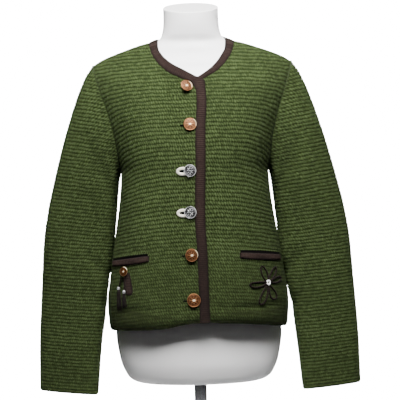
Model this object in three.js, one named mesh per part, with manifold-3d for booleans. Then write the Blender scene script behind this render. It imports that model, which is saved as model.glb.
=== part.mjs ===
import * as THREE from 'three';
import { mergeVertices } from 'three/addons/utils/BufferGeometryUtils.js';
import Module from 'manifold-3d';

// A garter-stitch cardigan worn by a limbless dress form on a pole and a round base.
// Millimetres. +Z is up, the front faces -Y, the wearer's left is +X.
// The origin is the centre of the base's underside.

// The cloth.
const WALL = 3;
const SEAM = 0.3;
const BINDING_RISE = 0.8;
const LAP_DEPTH = 5.8;
const SHOULDER_ROUND = 90;
const BODY_SQUARE = 2.4;

// Heights and widths that the cloth is cut to.
const ARMPIT_Z = 556;
const TIP_Z = 770;
const TIP_X = 199;
const ARMHOLE_MID = (ARMPIT_Z + TIP_Z) / 2;
const ARMHOLE_HALF = (TIP_Z - ARMPIT_Z) / 2;
const NECK_X = 86;

// The front edges: the binding's two sides, and how far the left front runs under it.
const EDGE_LEFT = 4.5;
const EDGE_RIGHT = 21.5;
const UNDERLAP_X = -28;
const V_CORNER = 4.4;

// Rows of the cloth from hem to armpit and from armpit to shoulder, and rings down a sleeve.
const LOW_ROWS = 14;
const HIGH_ROWS = 12;
const SLEEVE_RINGS = 21;

// The body's half width at its side seams, with the depth in front and behind.
const BODY = [
  { z: 240, half: 175.5, front: 147, back: 113 },
  { z: 262, half: 178.5, front: 146, back: 113 },
  { z: 300, half: 180.5, front: 143, back: 114 },
  { z: 345, half: 175, front: 139, back: 112 },
  { z: 390, half: 168.5, front: 136, back: 108 },
  { z: 440, half: 160.5, front: 134, back: 104 },
  { z: 500, half: 151.5, front: 132, back: 102 },
  { z: 540, half: 147.8, front: 131, back: 103 },
  { z: 556, half: 147, front: 131, back: 104 },
  { z: 575, half: 152.5, front: 131, back: 105 },
  { z: 600, half: 160, front: 130, back: 106 },
  { z: 650, half: 175, front: 122, back: 106 },
  { z: 700, half: 192, front: 106, back: 100 },
  { z: 740, half: 204, front: 90, back: 92 },
  { z: 780, half: 216, front: 74, back: 82 },
  { z: 817, half: 230, front: 64, back: 75 },
  { z: 870, half: 250, front: 60, back: 72 },
];

// The shoulder's ridge, from the neck to past its tip.
const SHOULDER = [
  { x: 0, z: 862 },
  { x: 40, z: 847 },
  { x: 53, z: 835 },
  { x: 62, z: 827 },
  { x: 68.5, z: 822 },
  { x: 86, z: 815 },
  { x: 105, z: 810 },
  { x: 135, z: 800 },
  { x: 160, z: 791 },
  { x: 180, z: 782.5 },
  { x: 192, z: 775.5 },
  { x: 199, z: 770 },
  { x: 230, z: 730 },
];

// The armhole's seam seen from the front.
const ARMHOLE = [
  { z: 556, front: 147, back: 147 },
  { z: 575, front: 148.5, back: 149.5 },
  { z: 600, front: 151.5, back: 154 },
  { z: 635, front: 157.5, back: 162 },
  { z: 670, front: 166.5, back: 171.5 },
  { z: 710, front: 180, back: 183 },
  { z: 740, front: 189.5, back: 191 },
  { z: 758, front: 195.2, back: 195.8 },
  { z: 770, front: 199, back: 199 },
];

// Where the panels stop at the neck, and the binding's free edge beside it.
const FRONT_NECK = [
  { x: -28, z: 706, innerX: -37, innerZ: 720 },
  { x: -10, z: 719.5, innerX: -18, innerZ: 733 },
  { x: 4.4, z: 726.5, innerX: -4.7, innerZ: 740 },
  { x: 25, z: 736, innerX: 18.5, innerZ: 747.5 },
  { x: 46.7, z: 747.7, innerX: 37.5, innerZ: 760.5 },
  { x: 62, z: 762, innerX: 50, innerZ: 772.6 },
  { x: 73.6, z: 778, innerX: 59.7, innerZ: 786 },
  { x: 81, z: 795, innerX: 65.8, innerZ: 801 },
  { x: 86, z: 815, innerX: 68.5, innerZ: 822 },
];
const BACK_NECK = [
  { x: 0, z: 808, innerX: 0, innerZ: 825.5 },
  { x: 40, z: 809, innerX: 34, innerZ: 825.5 },
  { x: 65, z: 811, innerX: 53, innerZ: 825 },
  { x: 78, z: 813, innerX: 62, innerZ: 823.6 },
  { x: 86, z: 815, innerX: 68.5, innerZ: 822 },
];

// The hem, from the wearer's right side to the left one.
const FRONT_HEM = [
  { x: -178, z: 246 },
  { x: -150, z: 249 },
  { x: -110, z: 251.5 },
  { x: -70, z: 254.5 },
  { x: -30, z: 262 },
  { x: 0, z: 265 },
  { x: 60, z: 262.5 },
  { x: 120, z: 256.5 },
  { x: 178, z: 246 },
];
const BACK_HEM_Z = 246;

// The outer and the inner line of a sleeve, with its half depth from front to back.
const SLEEVE_OUTER = [
  { x: 199, z: 770 },
  { x: 211, z: 753 },
  { x: 226, z: 722 },
  { x: 245, z: 670 },
  { x: 265, z: 606 },
  { x: 282, z: 542 },
  { x: 297, z: 478 },
  { x: 306.5, z: 414 },
  { x: 311, z: 345 },
  { x: 315, z: 285 },
  { x: 319, z: 206 },
  { x: 320, z: 127 },
];
const SLEEVE_INNER = [
  { x: 147, z: 556 },
  { x: 151, z: 540 },
  { x: 154, z: 512 },
  { x: 157.5, z: 480 },
  { x: 163.5, z: 440 },
  { x: 172, z: 390 },
  { x: 179, z: 345 },
  { x: 185.5, z: 300 },
  { x: 190, z: 262 },
  { x: 196.5, z: 200 },
  { x: 204.5, z: 115 },
];
const SLEEVE_DEPTH = [
  { along: 0, half: 60, centre: 0 },
  { along: 0.15, half: 56, centre: 3 },
  { along: 0.4, half: 44, centre: 7 },
  { along: 0.7, half: 33, centre: 5 },
  { along: 0.9, half: 24, centre: 0 },
  { along: 1, half: 19, centre: -2 },
];
const SLEEVE_SQUARE = 2.3;
const CAP_FADE = 0.3;

// Soft folds in the panels: a trough's or ridge's middle, half lengths and rise in millimetres.
const BODY_FOLDS = [
  { face: 'front', x: -135, z: 291, wide: 44, tall: 7, rise: -4 },
  { face: 'front', x: 118, z: 291, wide: 52, tall: 7, rise: -4 },
  { face: 'front', x: -135, z: 268, wide: 48, tall: 13, rise: 2.5 },
  { face: 'front', x: 125, z: 270, wide: 52, tall: 12, rise: 2 },
  { face: 'front', x: -62, z: 292, wide: 13, tall: 52, rise: -3 },
  { face: 'front', x: 66, z: 330, wide: 20, tall: 70, rise: 2.5 },
  { face: 'front', x: -112, z: 480, wide: 20, tall: 80, rise: 3 },
  { face: 'front', x: 108, z: 470, wide: 22, tall: 90, rise: 3 },
  { face: 'front', x: -138, z: 610, wide: 11, tall: 60, rise: -6 },
  { face: 'front', x: 138, z: 610, wide: 11, tall: 60, rise: -6 },
  { face: 'back', x: -60, z: 320, wide: 22, tall: 100, rise: 5 },
  { face: 'back', x: 4, z: 300, wide: 20, tall: 90, rise: -4 },
  { face: 'back', x: 66, z: 330, wide: 24, tall: 110, rise: 5 },
  { face: 'back', x: -118, z: 600, wide: 16, tall: 70, rise: -5 },
  { face: 'back', x: 118, z: 600, wide: 16, tall: 70, rise: -5 },
  { face: 'back', x: 0, z: 470, wide: 80, tall: 20, rise: -3 },
];
const SLEEVE_FOLDS = [
  { along: 0.13, turn: -1.9, length: 0.05, arc: 0.7, rise: -5 },
  { along: 0.2, turn: -2.2, length: 0.05, arc: 0.6, rise: 3 },
  { along: 0.15, turn: 2.0, length: 0.05, arc: 0.7, rise: -5 },
  { along: 0.47, turn: 2.7, length: 0.035, arc: 0.8, rise: -4 },
  { along: 0.54, turn: -2.8, length: 0.035, arc: 0.8, rise: -3 },
  { along: 0.61, turn: 2.6, length: 0.03, arc: 0.7, rise: -3 },
  { along: 0.8, turn: -1.2, length: 0.12, arc: 0.35, rise: -2.5 },
];

// Where the columns of points meet the top edge of each panel.
const ARM_STATIONS = [108, 131, 152, 171, 186, 195, 198.3, TIP_X];
const NECK_STATIONS = [22, 42, 59, 72, 80, 84.4, NECK_X];
const BACK_NECK_STATIONS = [0, 30, 54, 71, 81.5, NECK_X];

// The six front buttons, the pocket's button, and the worked rings beside two of them.
const BUTTONS = [
  { x: -11, z: 719, radius: 11.6, metal: 'copper', tip: 22 },
  { x: -6.5, z: 642, radius: 12.3, metal: 'copper', tip: 4 },
  { x: -8.7, z: 554, radius: 11.6, metal: 'pewter', tip: 3 },
  { x: -10, z: 474.6, radius: 11.6, metal: 'pewter', tip: -2 },
  { x: -9.8, z: 393.5, radius: 12.2, metal: 'copper', tip: 12 },
  { x: -7.8, z: 308.4, radius: 12.8, metal: 'copper', tip: 4 },
];
const POCKET_BUTTON = { x: -135.8, z: 363.5, radius: 8.8, metal: 'copper', tip: 10 };
const RING_BUTTONS = [2, 3];
const RING = { shift: -16.4, halfLong: 13, halfTall: 9.4, bandWidth: 6, thick: 2.6, sides: 16 };
const SHANK_RADIUS = 3;
const BUTTON_GAP = 3.4;

// The pocket bands, each along its own sloping line on a front.
const POCKETS = [
  { name: 'right', fromX: -165, fromZ: 378.3, toX: -91, toZ: 389 },
  { name: 'left', fromX: 81.4, fromZ: 391.4, toX: 162.3, toZ: 382.7 },
];
const POCKET = { half: 7.3, thick: 2.6, mouth: 1.4, columns: 8 };

// The hanging tab and the two tasselled cords below the pocket's button.
const TAB = { topX: -130.3, topZ: 365.5, endX: -125.8, endZ: 319, width: 14, thick: 2.4 };
const TASSELS = [
  { topX: -143.8, topZ: 356.5, beadX: -150, beadZ: 330.6, strand: 42, radius: 3.4, clear: 3.5 },
  { topX: -137.3, topZ: 351.5, beadX: -138.4, beadZ: 324.4, strand: 30, radius: 3.4, clear: 3.2 },
];
const STRANDS = 7;
const CORD_RADIUS = 1.3;
const FLOWER_BEAD = { x: 134.5, z: 335.5, radius: 3.9, tube: 1.9 };

// The dress form: half width, depth in front and behind.
const FORM_BOTTOM = 130;
const FORM_SQUARE = 2.15;
const FORM = [
  { z: 130, half: 108, front: 66, back: 66 },
  { z: 132, half: 122, front: 77, back: 77 },
  { z: 138, half: 136, front: 87, back: 87 },
  { z: 150, half: 146, front: 95, back: 94 },
  { z: 185, half: 158, front: 105, back: 100 },
  { z: 235, half: 165, front: 108, back: 101 },
  { z: 290, half: 163, front: 104, back: 98 },
  { z: 345, half: 151, front: 95, back: 92 },
  { z: 400, half: 136, front: 87, back: 84 },
  { z: 450, half: 128, front: 88, back: 80 },
  { z: 500, half: 131, front: 100, back: 82 },
  { z: 550, half: 137, front: 114, back: 87 },
  { z: 595, half: 142, front: 116, back: 91 },
  { z: 640, half: 151, front: 108, back: 92 },
  { z: 680, half: 163, front: 95, back: 88 },
  { z: 715, half: 175, front: 81, back: 79 },
  { z: 742, half: 184, front: 70, back: 68 },
  { z: 758, half: 186, front: 62.5, back: 60 },
  { z: 769, half: 184, front: 54, back: 52 },
];
const FORM_SHOULDER = { topX: 178, square: 1.5 };
const SHOULDER_DEPTH = [
  { x: 70, front: 41, back: 41, ease: 4.4 },
  { x: 86, front: 41.5, back: 43, ease: 3.6 },
  { x: 112, front: 45, back: 44, ease: 0 },
  { x: 160, front: 48, back: 46, ease: 0 },
  { x: 178, front: 51, back: 48, ease: 1.4 },
];
const SEAT = 0.6;
const NECK_COLUMN = [
  { z: 823, half: 61, front: 45, back: 44 },
  { z: 832, half: 58, front: 47, back: 46 },
  { z: 845, half: 55.6, front: 49.5, back: 47.5 },
  { z: 860, half: 55, front: 50, back: 48 },
];
const NECK_TOP_Z = 882;
const NECK_SLOPE = 0.34;
const FORM_SIDES = 32;

// The stand.
const POLE_RADIUS = 12.5;
const BASE_RADIUS = 160;
const BASE_THICK = 8;
const SOLID_GAP = 0.3;
const BAND_GAP = 1.15;

function blendStep(t) {
  const u = Math.min(1, Math.max(0, t));
  return u * u * (3 - 2 * u);
}

// Reads a column of a table at a value of another column, with no overshoot between its rows.
function read(table, by, value, column) {
  const last = table.length - 1;
  const v = Math.min(table[last][by], Math.max(table[0][by], value));
  let i = 0;
  while (i < last - 1 && v > table[i + 1][by]) {
    i += 1;
  }
  const slope = (k) => (table[k + 1][column] - table[k][column]) / (table[k + 1][by] - table[k][by]);
  const tangent = (k) => {
    if (k === 0 || k === last) {
      return slope(Math.min(k, last - 1));
    }
    const a = slope(k - 1);
    const b = slope(k);
    return a * b <= 0 ? 0 : (2 * a * b) / (a + b);
  };
  const step = table[i + 1][by] - table[i][by];
  const t = (v - table[i][by]) / step;
  const rise = t * t * (3 - 2 * t);
  const curve = t * (1 - t) * (tangent(i) * (1 - t) - tangent(i + 1) * t) * step;
  return table[i][column] * (1 - rise) + table[i + 1][column] * rise + curve;
}

const shoulderZ = (x) => read(SHOULDER, 'x', Math.abs(x), 'z');

function foldRise(face, x, z) {
  let rise = 0;
  for (const fold of BODY_FOLDS) {
    if (fold.face === face) {
      const across = ((x - fold.x) / fold.wide) ** 2;
      const up = ((z - fold.z) / fold.tall) ** 2;
      rise += fold.rise * Math.exp(-across - up);
    }
  }
  return rise;
}

// The cloth's outer surface: how far it lies in front of or behind the side seams' plane.
function bodyPoint(face, x, z) {
  const half = read(BODY, 'z', z, 'half');
  const depth = read(BODY, 'z', z, face);
  const across = Math.min(1, Math.abs(x) / half);
  const round = (1 - across ** BODY_SQUARE) ** (1 / BODY_SQUARE);
  const below = Math.min(1, Math.max(0, (shoulderZ(x) - z) / SHOULDER_ROUND));
  const over = Math.sqrt(1 - (1 - below) ** 2);
  const y = SEAM / 2 + (depth + foldRise(face, x, z)) * round * over;
  return new THREE.Vector3(x, face === 'front' ? -y : y, z);
}

// A point on a front panel. The left front steps back where the right one lies over it.
function frontPoint(side, x, z) {
  const point = bodyPoint('front', x, z);
  if (side > 0) {
    point.y += LAP_DEPTH * (1 - blendStep((x - EDGE_RIGHT - 3) / 20));
  }
  return point;
}

function gridNormals(grid, closed) {
  const rows = grid.length;
  const columns = grid[0].length;
  return grid.map((row, i) => row.map((point, j) => {
    const up = grid[Math.min(i + 1, rows - 1)][j].clone().sub(grid[Math.max(i - 1, 0)][j]);
    const next = closed ? row[(j + 1) % columns] : row[Math.min(j + 1, columns - 1)];
    const before = closed ? row[(j + columns - 1) % columns] : row[Math.max(j - 1, 0)];
    return next.clone().sub(before).cross(up).normalize();
  }));
}

// A wall between an outer and an inner grid of points, closed round its edges.
function wallGeometry(outer, inner, closed) {
  const rows = outer.length;
  const columns = outer[0].length;
  const positions = [];
  for (const point of [...outer.flat(), ...inner.flat()]) {
    positions.push(point.x, point.y, point.z);
  }
  const faces = [];
  const quad = (a, b, c, d) => faces.push(a, b, c, a, c, d);
  const out = (i, j) => i * columns + (j % columns);
  const inn = (i, j) => rows * columns + out(i, j);
  const spans = closed ? columns : columns - 1;
  for (let i = 0; i < rows - 1; i += 1) {
    for (let j = 0; j < spans; j += 1) {
      quad(out(i, j), out(i, j + 1), out(i + 1, j + 1), out(i + 1, j));
      quad(inn(i, j), inn(i + 1, j), inn(i + 1, j + 1), inn(i, j + 1));
    }
    if (!closed) {
      quad(out(i + 1, 0), inn(i + 1, 0), inn(i, 0), out(i, 0));
      quad(out(i, spans), inn(i, spans), inn(i + 1, spans), out(i + 1, spans));
    }
  }
  for (let j = 0; j < spans; j += 1) {
    quad(out(0, j), inn(0, j), inn(0, j + 1), out(0, j + 1));
    quad(out(rows - 1, j), out(rows - 1, j + 1), inn(rows - 1, j + 1), inn(rows - 1, j));
  }
  const geometry = new THREE.BufferGeometry();
  geometry.setAttribute('position', new THREE.Float32BufferAttribute(positions, 3));
  geometry.setIndex(faces);
  return geometry;
}

function offsetGrid(grid, normals, distance) {
  return grid.map((row, i) => row.map((point, j) => (
    point.clone().addScaledVector(normals[i][j], -distance))));
}

// The heights of the rows at a side seam, up the armhole to the shoulder's tip.
function rowPlace(row) {
  if (row <= LOW_ROWS) {
    return { low: row / LOW_ROWS, high: 0 };
  }
  const turn = (Math.PI * (row - LOW_ROWS)) / HIGH_ROWS;
  return { low: 1, high: (1 - Math.cos(turn)) / 2 };
}
const ROWS = LOW_ROWS + HIGH_ROWS + 1;

function outerEdgeX(face, place) {
  if (place.low < 1) {
    const z = BACK_HEM_Z + (ARMPIT_Z - BACK_HEM_Z) * place.low;
    return read(BODY, 'z', z, 'half');
  }
  const z = ARMPIT_Z + (TIP_Z - ARMPIT_Z) * place.high;
  return read(ARMHOLE, 'z', z, face);
}

function panelTopZ(face, x) {
  if (x >= NECK_X) {
    return shoulderZ(x);
  }
  return face === 'front' ? read(FRONT_NECK, 'x', x, 'z') : read(BACK_NECK, 'x', Math.abs(x), 'z');
}

// The two fronts are worked out from the middle to the wearer's right (-1) or left (1).
function frontGrid(side) {
  const firstX = side < 0 ? SEAM - EDGE_LEFT : UNDERLAP_X;
  const stations = [firstX, ...(side < 0 ? [] : [-6]), ...NECK_STATIONS, ...ARM_STATIONS];
  const grid = [];
  for (let i = 0; i < ROWS; i += 1) {
    const place = rowPlace(i);
    const outX = outerEdgeX('front', place);
    const flare = side < 0 ? (V_CORNER - firstX) * blendStep((place.high - 0.9) / 0.1) : 0;
    const row = stations.map((station, j) => {
      const share = (station - firstX) / (TIP_X - firstX);
      const x = firstX + (outX - firstX) * share + (j === 0 ? flare : 0);
      const hem = read(FRONT_HEM, 'x', side * x, 'z');
      const top = panelTopZ('front', j === 0 && side < 0 ? V_CORNER : station);
      const z = hem + (ARMPIT_Z - hem) * place.low + (top - ARMPIT_Z) * place.high;
      return frontPoint(side, side * x, z);
    });
    grid.push(side < 0 ? row.reverse() : row);
  }
  return grid;
}

function backGrid() {
  const half = [...BACK_NECK_STATIONS, ...ARM_STATIONS];
  const stations = [...half.slice(1).reverse().map((station) => -station), ...half];
  const grid = [];
  for (let i = 0; i < ROWS; i += 1) {
    const place = rowPlace(i);
    const outX = outerEdgeX('back', place);
    grid.push(stations.map((station) => {
      const x = (station / TIP_X) * outX;
      const top = panelTopZ('back', Math.abs(station));
      const low = BACK_HEM_Z + (ARMPIT_Z - BACK_HEM_Z) * place.low;
      return bodyPoint('back', x, low + (top - ARMPIT_Z) * place.high);
    }).reverse());
  }
  return grid;
}

// Lengths along a sleeve's outer and inner lines, and the point at a share of each.
function alongLine(table, share) {
  const lengths = [0];
  for (let i = 1; i < table.length; i += 1) {
    const step = Math.hypot(table[i].x - table[i - 1].x, table[i].z - table[i - 1].z);
    lengths.push(lengths[i - 1] + step);
  }
  const total = lengths[lengths.length - 1];
  const measured = table.map((row, i) => ({ ...row, at: lengths[i] / total }));
  const x = read(measured, 'at', share, 'x');
  const z = read(measured, 'at', share, 'z');
  return new THREE.Vector3(x, 0, z);
}

// A sleeve's own section at a share of its length: turn 0 is the outer line, then the front.
function sleeveSection(along, turn) {
  const outer = alongLine(SLEEVE_OUTER, along);
  const inner = alongLine(SLEEVE_INNER, along);
  const half = read(SLEEVE_DEPTH, 'along', along, 'half');
  const power = 2 / SLEEVE_SQUARE;
  const across = Math.sign(Math.cos(turn)) * Math.abs(Math.cos(turn)) ** power;
  const deep = Math.sign(Math.sin(turn)) * Math.abs(Math.sin(turn)) ** power;
  const point = outer.clone().add(inner).multiplyScalar(0.5);
  point.addScaledVector(outer.clone().sub(inner), across / 2);
  point.y = read(SLEEVE_DEPTH, 'along', along, 'centre') - half * deep;
  return point;
}

// The armhole's seam at the same turn, on the panels' outer surface.
function armholePoint(turn) {
  const z = ARMHOLE_MID + ARMHOLE_HALF * Math.cos(turn);
  const face = Math.sin(turn) >= 0 ? 'front' : 'back';
  const point = bodyPoint(face, read(ARMHOLE, 'z', z, face), z);
  if (Math.abs(Math.sin(turn)) < 1e-6) {
    point.y = 0;
  }
  return point;
}

function sleevePoint(along, turn) {
  const point = sleeveSection(along, turn);
  const fade = Math.max(0, 1 - along / CAP_FADE) ** 2;
  if (fade > 0) {
    point.addScaledVector(armholePoint(turn).sub(sleeveSection(0, turn)), fade);
  }
  return point;
}

const RING_POINTS = 2 * HIGH_ROWS;
const ringTurn = (j) => (2 * Math.PI * j) / RING_POINTS;

function sleeveFold(along, turn) {
  let rise = 0;
  for (const fold of SLEEVE_FOLDS) {
    const away = Math.atan2(Math.sin(turn - fold.turn), Math.cos(turn - fold.turn));
    rise += fold.rise * Math.exp(-(((along - fold.along) / fold.length) ** 2) - (away / fold.arc) ** 2);
  }
  return rise * blendStep(along / 0.08) * blendStep((1 - along) / 0.05);
}

// The wearer's left sleeve as rings from the cuff up to the armhole.
function sleeveGrid() {
  const plain = [];
  const shares = [];
  for (let k = SLEEVE_RINGS; k >= 0; k -= 1) {
    const along = k / SLEEVE_RINGS;
    shares.push(along);
    plain.push(Array.from({ length: RING_POINTS }, (_, j) => sleevePoint(along, ringTurn(j))));
  }
  for (const row of plain) {
    row.reverse();
  }
  const normals = gridNormals(plain, true);
  const turns = Array.from({ length: RING_POINTS }, (_, j) => ringTurn(RING_POINTS - 1 - j));
  return plain.map((row, i) => row.map((point, j) => (
    point.clone().addScaledVector(normals[i][j], sleeveFold(shares[i], turns[j])))));
}

// The direction that the walls' thickness takes along the armhole: between panel and sleeve.
function seamDirections(front, frontNormals, back, backNormals, sleeveNormals) {
  const directions = new Map();
  const top = sleeveNormals[sleeveNormals.length - 1];
  for (let j = 0; j < RING_POINTS; j += 1) {
    const index = RING_POINTS - 1 - j;
    const fromTop = j <= HIGH_ROWS ? j : RING_POINTS - j;
    const row = ROWS - 1 - fromTop;
    const panelNormal = j <= HIGH_ROWS
      ? frontNormals[row][front[0].length - 1]
      : backNormals[row][0];
    const mean = panelNormal.clone().add(top[index]);
    if (j === 0 || j === HIGH_ROWS) {
      mean.y = 0;
    }
    directions.set(j, mean.normalize());
  }
  return directions;
}

// Along the side seams and the shoulders' ridges the thickness lies in the seam's plane.
function flattenSeams(normals, sideColumn, onRidge) {
  for (let i = 0; i <= LOW_ROWS; i += 1) {
    normals[i][sideColumn].set(Math.sign(normals[i][sideColumn].x), 0, 0);
  }
  for (const normal of normals[ROWS - 1].filter((_, j) => onRidge(j))) {
    normal.y = 0;
    normal.normalize();
  }
}

const frontLeft = frontGrid(1);
const frontRight = frontGrid(-1);
const back = backGrid();
const leftSleeve = sleeveGrid();

const frontLeftNormals = gridNormals(frontLeft, false);
const frontRightNormals = gridNormals(frontRight, false);
const backNormals = gridNormals(back, false);
const sleeveNormals = gridNormals(leftSleeve, true);

const lastColumn = (grid) => grid[0].length - 1;
const onShoulder = (grid) => (j) => Math.abs(grid[ROWS - 1][j].x) >= NECK_X - 1e-6;
flattenSeams(frontLeftNormals, lastColumn(frontLeft), onShoulder(frontLeft));
flattenSeams(frontRightNormals, 0, onShoulder(frontRight));
flattenSeams(backNormals, 0, onShoulder(back));
flattenSeams(backNormals, lastColumn(back), () => false);

const seams = seamDirections(frontLeft, frontLeftNormals, back, backNormals, sleeveNormals);
for (let j = 0; j < RING_POINTS; j += 1) {
  const direction = seams.get(j);
  const mirrored = direction.clone();
  mirrored.x *= -1;
  const fromTop = j <= HIGH_ROWS ? j : RING_POINTS - j;
  const row = ROWS - 1 - fromTop;
  sleeveNormals[SLEEVE_RINGS][RING_POINTS - 1 - j].copy(direction);
  if (j <= HIGH_ROWS) {
    frontLeftNormals[row][lastColumn(frontLeft)].copy(direction);
    frontRightNormals[row][0].copy(mirrored);
  }
  if (j === 0 || j >= HIGH_ROWS) {
    backNormals[row][0].copy(direction);
    backNormals[row][lastColumn(back)].copy(mirrored);
  }
}

// The sleeve's last ring leaves the seam's gap to the panels.
const seamShift = new THREE.Vector3(ARMHOLE_HALF, 0, -(TIP_X - ARMHOLE[0].front) / 2).normalize();
leftSleeve[SLEEVE_RINGS].forEach((point, j) => {
  const low = (1 - Math.cos(ringTurn(RING_POINTS - 1 - j))) / 2;
  point.addScaledVector(seamShift, SEAM * (1.5 + 1.5 * low ** 4));
});

function panelGeometry(grid, normals) {
  return wallGeometry(grid, offsetGrid(grid, normals, WALL), false);
}

function sleeveGeometry(side) {
  const inner = offsetGrid(leftSleeve, sleeveNormals, WALL);
  if (side > 0) {
    return wallGeometry(leftSleeve, inner, true);
  }
  const mirror = (grid) => grid.map((row) => row.map((point) => (
    new THREE.Vector3(-point.x, point.y, point.z))).reverse());
  return wallGeometry(mirror(leftSleeve), mirror(inner), true);
}

// A strip's section across its width: low at both edges, raised between them.
const STRIP_ACROSS = [
  { share: 0, rise: 0 },
  { share: 0.25, rise: 1 },
  { share: 0.75, rise: 1 },
  { share: 1, rise: 0.2 },
];

// The wall round the neck: from under the lap, round the back, to the right front's V.
function neckBinding() {
  const stations = [];
  const frontStation = (side, station) => {
    const z = read(FRONT_NECK, 'x', station, 'z');
    const innerX = read(FRONT_NECK, 'x', station, 'innerX');
    const innerZ = read(FRONT_NECK, 'x', station, 'innerZ');
    return {
      outer: frontPoint(side, side * station, z),
      inner: frontPoint(side, side * innerX, innerZ),
    };
  };
  const backStation = (station) => {
    const sign = Math.sign(station);
    const x = Math.abs(station);
    const innerX = sign * read(BACK_NECK, 'x', x, 'innerX');
    return {
      outer: bodyPoint('back', station, read(BACK_NECK, 'x', x, 'z')),
      inner: bodyPoint('back', innerX, read(BACK_NECK, 'x', x, 'innerZ')),
    };
  };
  const shoulder = (side) => {
    const at = frontStation(side, NECK_X);
    at.outer.y = 0;
    at.inner.y = 0;
    return at;
  };
  const ahead = [V_CORNER, ...NECK_STATIONS.slice(0, -1)];
  const behind = BACK_NECK_STATIONS.slice(1, -1);
  stations.push(...ahead.map((station) => frontStation(1, station)));
  stations.push(shoulder(1));
  stations.push(...[...behind].reverse().map(backStation), backStation(0));
  stations.push(...behind.map((station) => backStation(-station)));
  stations.push(shoulder(-1));
  stations.push(...[...ahead].reverse().map((station) => frontStation(-1, station)));
  const grid = STRIP_ACROSS.map((across) => stations.map((at) => {
    const step = at.inner.clone().sub(at.outer);
    const share = across.share + ((1 - across.share) * 2 * SEAM) / step.length();
    return at.outer.clone().addScaledVector(step, share);
  }));
  const normals = gridNormals(grid, false);
  const edgeNormals = stations.map((at, j) => {
    const onPanel = panelEdgeNormal(at.outer, ROWS - 1);
    return onPanel ? onPanel.clone() : normals[0][j];
  });
  normals[0] = edgeNormals;
  for (const row of normals) {
    row.forEach((normal, j) => {
      if (Math.abs(stations[j].outer.y) < 1e-6) {
        normal.y = 0;
        normal.normalize();
      }
    });
  }
  for (const row of grid) {
    const end = row[row.length - 1];
    end.addScaledVector(row[row.length - 2].clone().sub(end).normalize(), SEAM);
  }
  const inner = offsetGrid(grid, normals, WALL);
  const outer = grid.map((row, i) => row.map((point, j) => (
    point.clone().addScaledVector(normals[i][j], BINDING_RISE * STRIP_ACROSS[i].rise))));
  return wallGeometry(outer, inner, false);
}

// The thickness direction of the panel's edge point that a strip's point lies against.
function panelEdgeNormal(point, row) {
  for (const [grid, normals] of [
    [frontRight, frontRightNormals], [frontLeft, frontLeftNormals], [back, backNormals]]) {
    const j = grid[row].findIndex((other) => other.distanceTo(point) < SEAM);
    if (j >= 0) {
      return normals[row][j];
    }
  }
  return null;
}

// The binding down the right front's edge, pointed where it meets the neck's.
function edgeBinding() {
  const across = [0, 0.3, 0.7, 1];
  const columns = frontRight[0].length - 1;
  const grid = frontRight.map((row, i) => {
    const start = row[columns];
    const place = rowPlace(i);
    const point = blendStep((place.high - 0.86) / 0.14);
    return across.map((share) => {
      const x = start.x + SEAM + (EDGE_RIGHT - start.x - SEAM) * share;
      const peak = share < 0.35 ? share / 0.35 : (1 - share) / 0.65;
      const lift = 10 * peak + 2.5 * share;
      return frontPoint(-1, x, start.z + point * (lift + SEAM));
    });
  });
  const normals = gridNormals(grid, false);
  for (let i = 0; i < ROWS; i += 1) {
    normals[i][0].copy(frontRightNormals[i][columns]);
  }
  const inner = offsetGrid(grid, normals, WALL);
  const outer = grid.map((row, i) => row.map((point, j) => (
    point.clone().addScaledVector(normals[i][j], j === 0 ? 0 : BINDING_RISE))));
  return wallGeometry(outer, inner, false);
}

// A point on a front panel, a distance out from its surface, with that surface's direction.
function seatOnFront(x, z, distance) {
  const side = x > EDGE_RIGHT ? 1 : -1;
  const reach = 2;
  const point = frontPoint(side, x, z);
  const right = frontPoint(side, x + reach, z).sub(frontPoint(side, x - reach, z));
  const up = frontPoint(side, x, z + reach).sub(frontPoint(side, x, z - reach));
  const normal = right.cross(up).normalize();
  return { point: point.addScaledVector(normal, distance), normal };
}

function lathe(profile, sides) {
  const points = profile.map((p) => new THREE.Vector2(p.radius, p.height));
  const geometry = new THREE.LatheGeometry(points, sides);
  geometry.rotateX(Math.PI / 2);
  return geometry;
}

// A domed coin button with a raised rim and a shank behind it. Its back is at height 0.
function buttonGeometry(radius, shank) {
  return lathe([
    { radius: 0, height: -shank },
    { radius: SHANK_RADIUS, height: -shank },
    { radius: SHANK_RADIUS, height: 0 },
    { radius: radius - 1, height: 0 },
    { radius, height: 1.1 },
    { radius: radius - 0.9, height: 2.4 },
    { radius: radius - 2.8, height: 1.8 },
    { radius: 0, height: 3 },
  ], 14);
}

// Stands a piece made along +Z upon the cloth, tipped a little to the wearer's left.
function standOn(mesh, seat, tip) {
  const upward = new THREE.Vector3(0, 0, 1);
  const turn = new THREE.Quaternion().setFromUnitVectors(upward, seat.normal);
  const lean = new THREE.Quaternion().setFromAxisAngle(upward, (tip * Math.PI) / 180);
  mesh.quaternion.copy(lean.multiply(turn));
  mesh.position.copy(seat.point);
  return mesh;
}

// A flat band between two outlines on a front, lying just off the panel.
function bandOnFront(outline, thick, gap) {
  const grid = outline.map((row) => row.map((at) => seatOnFront(at.x, at.z, gap)));
  const inner = grid.map((row) => row.map((seat) => seat.point));
  const outer = grid.map((row, i) => row.map((seat, j) => {
    const edge = i === 0 || i === grid.length - 1 || j === 0 || j === row.length - 1;
    return seat.point.clone().addScaledVector(seat.normal, edge ? thick * 0.65 : thick);
  }));
  return wallGeometry(outer, inner, false);
}

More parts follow.
